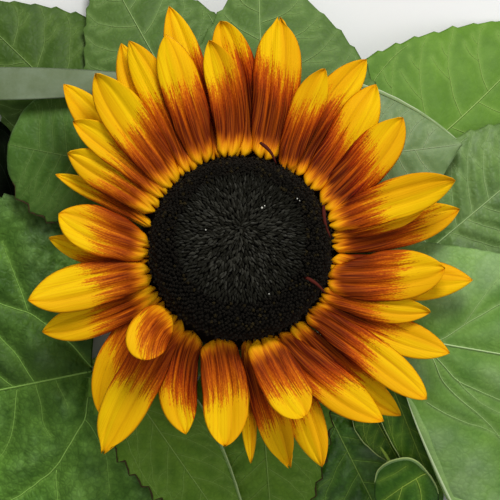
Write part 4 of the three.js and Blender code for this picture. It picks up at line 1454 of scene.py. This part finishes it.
def floret_spiral():
    """Geometry nodes that lay a shape along a spiral at the golden angle over the disc."""
    tree = bpy.data.node_groups.new("floret spiral", "GeometryNodeTree")
    for name, kind in SPIRAL_INPUTS:
        tree.interface.new_socket(name, in_out="INPUT", socket_type="NodeSocket" + kind)
    tree.interface.new_socket("Mesh", in_out="OUTPUT", socket_type="NodeSocketGeometry")
    node = partial(add_node, tree)
    given = node("NodeGroupInput")
    index = node("GeometryNodeInputIndex")[0]

    def chance(low, high, salt):
        """A number for each floret, anywhere between low and high."""
        seed = node("ADD", (given["Seed"], salt))[0]
        return node("FunctionNodeRandomValue", {2: low, 3: high, "ID": index, "Seed": seed},
                    data_type="FLOAT")[1]

    # Radius and angle of each floret, at the same room for each.
    turn = node("ADD", (index, given["First"]))[0]
    angle = node("MULTIPLY", (turn, GOLDEN_ANGLE))[0]
    room = math.sqrt(math.sqrt(3) / 2 / math.pi)
    spread = node("MULTIPLY", (given["Pitch"], room))[0]
    radius = node("ADD", (turn, 0.5))[0]
    radius = node("SQRT", (radius,))[0]
    radius = node("MULTIPLY", (radius, spread))[0]

    # Its place in plan, with the whorl's middle shifted, and each floret a little out of line.
    share = node("DIVIDE", (radius, given["Radius"]))[0]
    share = node("MULTIPLY", (share, share))[0]
    inside = node("SUBTRACT", (1.0, share))[0]
    x = node("COSINE", (angle,))[0]
    x = node("MULTIPLY", (radius, x))[0]
    y = node("SINE", (angle,))[0]
    y = node("MULTIPLY", (radius, y))[0]
    y = node("MULTIPLY_ADD", (inside, given["Shift"], y))[0]
    away = node("MULTIPLY", (given["Pitch"], 0.3))[0]
    x = node("MULTIPLY_ADD", (away, chance(-1.0, 1.0, 7), x))[0]
    y = node("MULTIPLY_ADD", (away, chance(-1.0, 1.0, 8), y))[0]

    # Its height.
    rise, drop = (node(RANGE, (radius, *(value * MM for value in row)),
                       interpolation_type="SMOOTHSTEP")[0] for row in (SPIRAL_RISE, SPIRAL_DROP))
    z = node("SUBTRACT", (rise, drop))[0]
    z = node("ADD", (z, chance(-0.0003, 0.0003, 1)))[0]
    points = node("GeometryNodePoints", {"Count": given["Count"]})[0]
    spot = node(COMBINE, (x, y, z))[0]
    placed = node("GeometryNodeSetPosition", {"Geometry": points, "Position": spot})[0]

    # Its turn and size.
    facing = node("ADD", (angle, chance(-0.35, 0.35, 2)))[0]
    tilt = node(COMBINE, (chance(-0.25, 0.25, 3), chance(-0.3, 0.2, 4), facing))[0]
    size = node("MULTIPLY", (given["Size"], chance(0.8, 1.25, 5)))[0]
    shape = node("GeometryNodeObjectInfo", {"Object": given["Shape"]})["Geometry"]
    copies = node("GeometryNodeInstanceOnPoints",
                  {"Points": placed, "Instance": shape, "Rotation": tilt, "Scale": size})[0]

    # Its material, by chance. The other one gets rarer outwards among the buds.
    low, high = (value * MM for value in GREY_FADE)
    fade = node(RANGE, (radius, low, high, 0.0, 0.4), interpolation_type="SMOOTHSTEP")[0]
    among_buds = node("LESS_THAN", (radius, high))[0]
    fade = node("MULTIPLY", (fade, among_buds))[0]
    pick = node("SUBTRACT", (chance(0.0, 1.0, 6), fade))[0]
    marked = node("GeometryNodeStoreNamedAttribute",
                  {"Geometry": copies, "Name": "tint", "Value": pick}, data_type="FLOAT",
                  domain="INSTANCE")[0]
    made = node("GeometryNodeRealizeInstances", {"Geometry": marked})[0]
    tint = node("GeometryNodeInputNamedAttribute", {"Name": "tint"}, data_type="FLOAT")[0]
    light = node("GREATER_THAN", (tint, given["Dark share"]))[0]
    made = node("GeometryNodeSetMaterial", {"Geometry": made, "Material": given["Main"]})[0]
    made = node("GeometryNodeSetMaterial",
                {"Geometry": made, "Selection": light, "Material": given["Other"]})[0]
    node("NodeGroupOutput", (made,))
    return tree


def scatter(name, tree, shape, finishes, settings, first, count, size, dark_share):
    """Runs the spiral over a shape and keeps its result as one plain mesh piece."""
    mesh = bpy.data.meshes.new(name + "_template")
    mesh.from_pydata(shape[0], [], shape[1])
    pattern = in_scene(name + "_template", mesh)
    carrier = in_scene(name + "_carrier", bpy.data.meshes.new(name))
    modifier = carrier.modifiers.new("spiral", "NODES")
    modifier.node_group = tree
    main, other = (plain_material(finish) for finish in finishes)
    values = {
        "Shape": pattern, "First": first, "Count": count, "Pitch": settings.pitch * MM,
        "Size": size * settings.pitch * MM, "Seed": settings.seed, "Shift": WHORL_SHIFT * MM,
        "Radius": settings.radius * MM, "Dark share": dark_share, "Main": main, "Other": other,
    }
    for item in tree.interface.items_tree:
        if item.in_out == "INPUT":
            modifier[item.identifier] = values[item.name]
    bpy.context.view_layer.update()
    evaluated = carrier.evaluated_get(bpy.context.evaluated_depsgraph_get())
    result = bpy.data.meshes.new_from_object(evaluated)
    bpy.data.objects.remove(carrier)
    bpy.data.objects.remove(pattern)
    result.transform(Matrix.Translation((CENTRE_X * MM, CENTRE_Y * MM, DISC_FLOOR * MM)))
    on_part(in_scene(name, result))


class SUNFLOWER_OT_receptacle(bpy.types.Operator):
    """Make the receptacle with its bracts"""

    bl_idname = "sunflower.receptacle"
    bl_label = "Receptacle"

    def execute(self, context):
        parts = [turned(outline, TURNED_SEGMENTS) for outline in (RECEPTACLE_OUTLINE, CHAFF_OUTLINE)]
        for first, *sizes in BRACT_WHORLS:
            parts += [bract(first + 360 * index / BRACT_COUNT, *sizes, index)
                      for index in range(BRACT_COUNT)]
        points, faces = joined(parts)
        # Above the shoulder the cup is dark chaff, darkened as painted shadow under the petals' roots.
        chosen = [int(min(points[i][2] for i in face) > RECEPTACLE_SHOULDER + 0.5) for face in faces]
        add_piece("receptacle_cup", points, faces,
                  [stem_material("bract skin"), plain_material("dark chaff with painted shadow")],
                  "receptacle", ["receptacle"], chosen=chosen)
        return {"FINISHED"}


def bract(bearing, reach, width, height, fall, index):
    """A pointed green scale with a raised middle rib, each drooping a little differently."""
    u = np.linspace(0, 1, 20)
    v = np.linspace(-1, 1, 9)
    grid_u, grid_v = np.meshgrid(u, v, indexing="ij")
    half = np.maximum(0.15, width / 2 * (1 - u ** 2.4))
    outward = polar(1.0, bearing)
    sideways = polar(1.0, bearing + 90)
    radius = BRACT_ROOT_RADIUS + (reach - BRACT_ROOT_RADIUS) * grid_u
    place = outward * radius[..., None] + sideways * (grid_v * half[:, None])[..., None]
    rib = 0.35 * (1 - np.abs(grid_v)) - 0.9 * grid_v ** 2 * (1 - grid_u)
    lift = height - fall * grid_u ** 2 + rib + 0.5 * math.sin(index * 2.4) * grid_u ** 2
    return shell(np.concatenate([place, lift[..., None]], -1), BRACT_THICKNESS)


class SUNFLOWER_OT_stem(bpy.types.Operator):
    """Make the stem"""

    bl_idname = "sunflower.stem"
    bl_label = "Stem"

    def execute(self, context):
        path = stem_path()
        radii = np.linspace(STEM_RADIUS, NECK_RADIUS, len(path))
        inward = unit(path[1] - path[0])
        cut = [path[0] + inward * depth for depth in STEM_CUT_DEPTHS]
        path = np.concatenate([cut, path[1:]])
        radii = np.concatenate([STEM_RADIUS * np.array(STEM_CUT_SHARES), radii[1:]])
        points, faces = tube(path, radii, STEM_SIDES)
        # The faces run in rings from the cut end, and the two end caps come last.
        chosen = np.zeros(len(faces), int)
        chosen[:STEM_SIDES] = 2
        chosen[STEM_SIDES:2 * STEM_SIDES] = 3
        chosen[-2] = 1
        names = ("stem skin", "stem pith", "stem wood ring", "stem rind")
        add_piece("stem_stalk", points, faces, [stem_material(name) for name in names], "stem",
                  ["stem"], chosen=chosen)
        return {"FINISHED"}


class SUNFLOWER_OT_stage(bpy.types.Operator):
    """Make the floor, the lights and the camera"""

    bl_idname = "sunflower.stage"
    bl_label = "Stage"

    def execute(self, context):
        settings = context.scene.sunflower_stage
        scene = context.scene
        mesh = bpy.data.meshes.new("floor")
        corners = ((-1, -1), (1, -1), (1, 1), (-1, 1))
        mesh.from_pydata([(x * FLOOR_HALF, y * FLOOR_HALF, FLOOR_HEIGHT) for x, y in corners], [],
                         [(0, 1, 2, 3)])
        # Uncoated paper: flat, without any gleam.
        material, _, shader = new_material("pale paper floor", *FLOOR_GLOSS)
        shader.inputs["Base Color"].default_value = settings.floor_colour
        mesh.materials.append(material)
        in_scene("floor", mesh)
        for name, place, size, power in LAMPS:
            data = bpy.data.lights.new(name, "AREA")
            data.size = size
            data.energy = power
            lamp = in_scene(name, data)
            lamp.location = place
            facing = Vector(LAMP_AIM) - Vector(place)
            lamp.rotation_euler = facing.to_track_quat("-Z", "Y").to_euler()
        scene.world = bpy.data.worlds.new("studio")
        scene.world.use_nodes = True
        sky = scene.world.node_tree.nodes["Background"].inputs
        sky["Color"].default_value = WORLD_COLOUR
        sky["Strength"].default_value = WORLD_STRENGTH
        scene.view_settings.view_transform = "Standard"
        data = bpy.data.cameras.new("camera")
        data.sensor_width = SENSOR_WIDTH
        data.lens = SENSOR_WIDTH * settings.distance / settings.field
        scene.camera = in_scene("camera", data)
        scene.camera.location = (*VIEW_MIDDLE, PETAL_LEVEL + settings.distance)
        return {"FINISHED"}


class SUNFLOWER_PT_panel(bpy.types.Panel):
    """Lists the sunflower's pieces and their sizes"""

    bl_label = "Sunflower"
    bl_space_type = "VIEW_3D"
    bl_region_type = "UI"
    bl_category = "Sunflower"

    def draw(self, context):
        for group in GROUPS:
            settings = getattr(context.scene, group)
            for key in settings.bl_rna.properties.keys():
                if key not in ("rna_type", "name"):
                    self.layout.prop(settings, key)
        for operator in OPERATORS:
            self.layout.operator(operator.bl_idname)


GROUPS = {
    "sunflower_petals": PetalSettings,
    "sunflower_leaves": LeafSettings,
    "sunflower_disc": DiscSettings,
    "sunflower_stage": StageSettings,
}
OPERATORS = (
    SUNFLOWER_OT_stage,
    SUNFLOWER_OT_stem,
    SUNFLOWER_OT_receptacle,
    SUNFLOWER_OT_disc,
    SUNFLOWER_OT_petals,
    SUNFLOWER_OT_leaves,
)


def register():
    for made in (*GROUPS.values(), *OPERATORS, SUNFLOWER_PT_panel):
        bpy.utils.register_class(made)
    for name, group in GROUPS.items():
        setattr(bpy.types.Scene, name, PointerProperty(type=group))


def unregister():
    for name in GROUPS:
        delattr(bpy.types.Scene, name)
    for made in reversed((*GROUPS.values(), *OPERATORS, SUNFLOWER_PT_panel)):
        bpy.utils.unregister_class(made)


def main():
    """Makes every piece in order."""
    register()
    bpy.ops.sunflower.stage()
    bpy.ops.sunflower.stem()
    bpy.ops.sunflower.receptacle()
    bpy.ops.sunflower.disc()
    bpy.ops.sunflower.petals()
    bpy.ops.sunflower.leaves()
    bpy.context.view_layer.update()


if __name__ == "__main__":
    main()
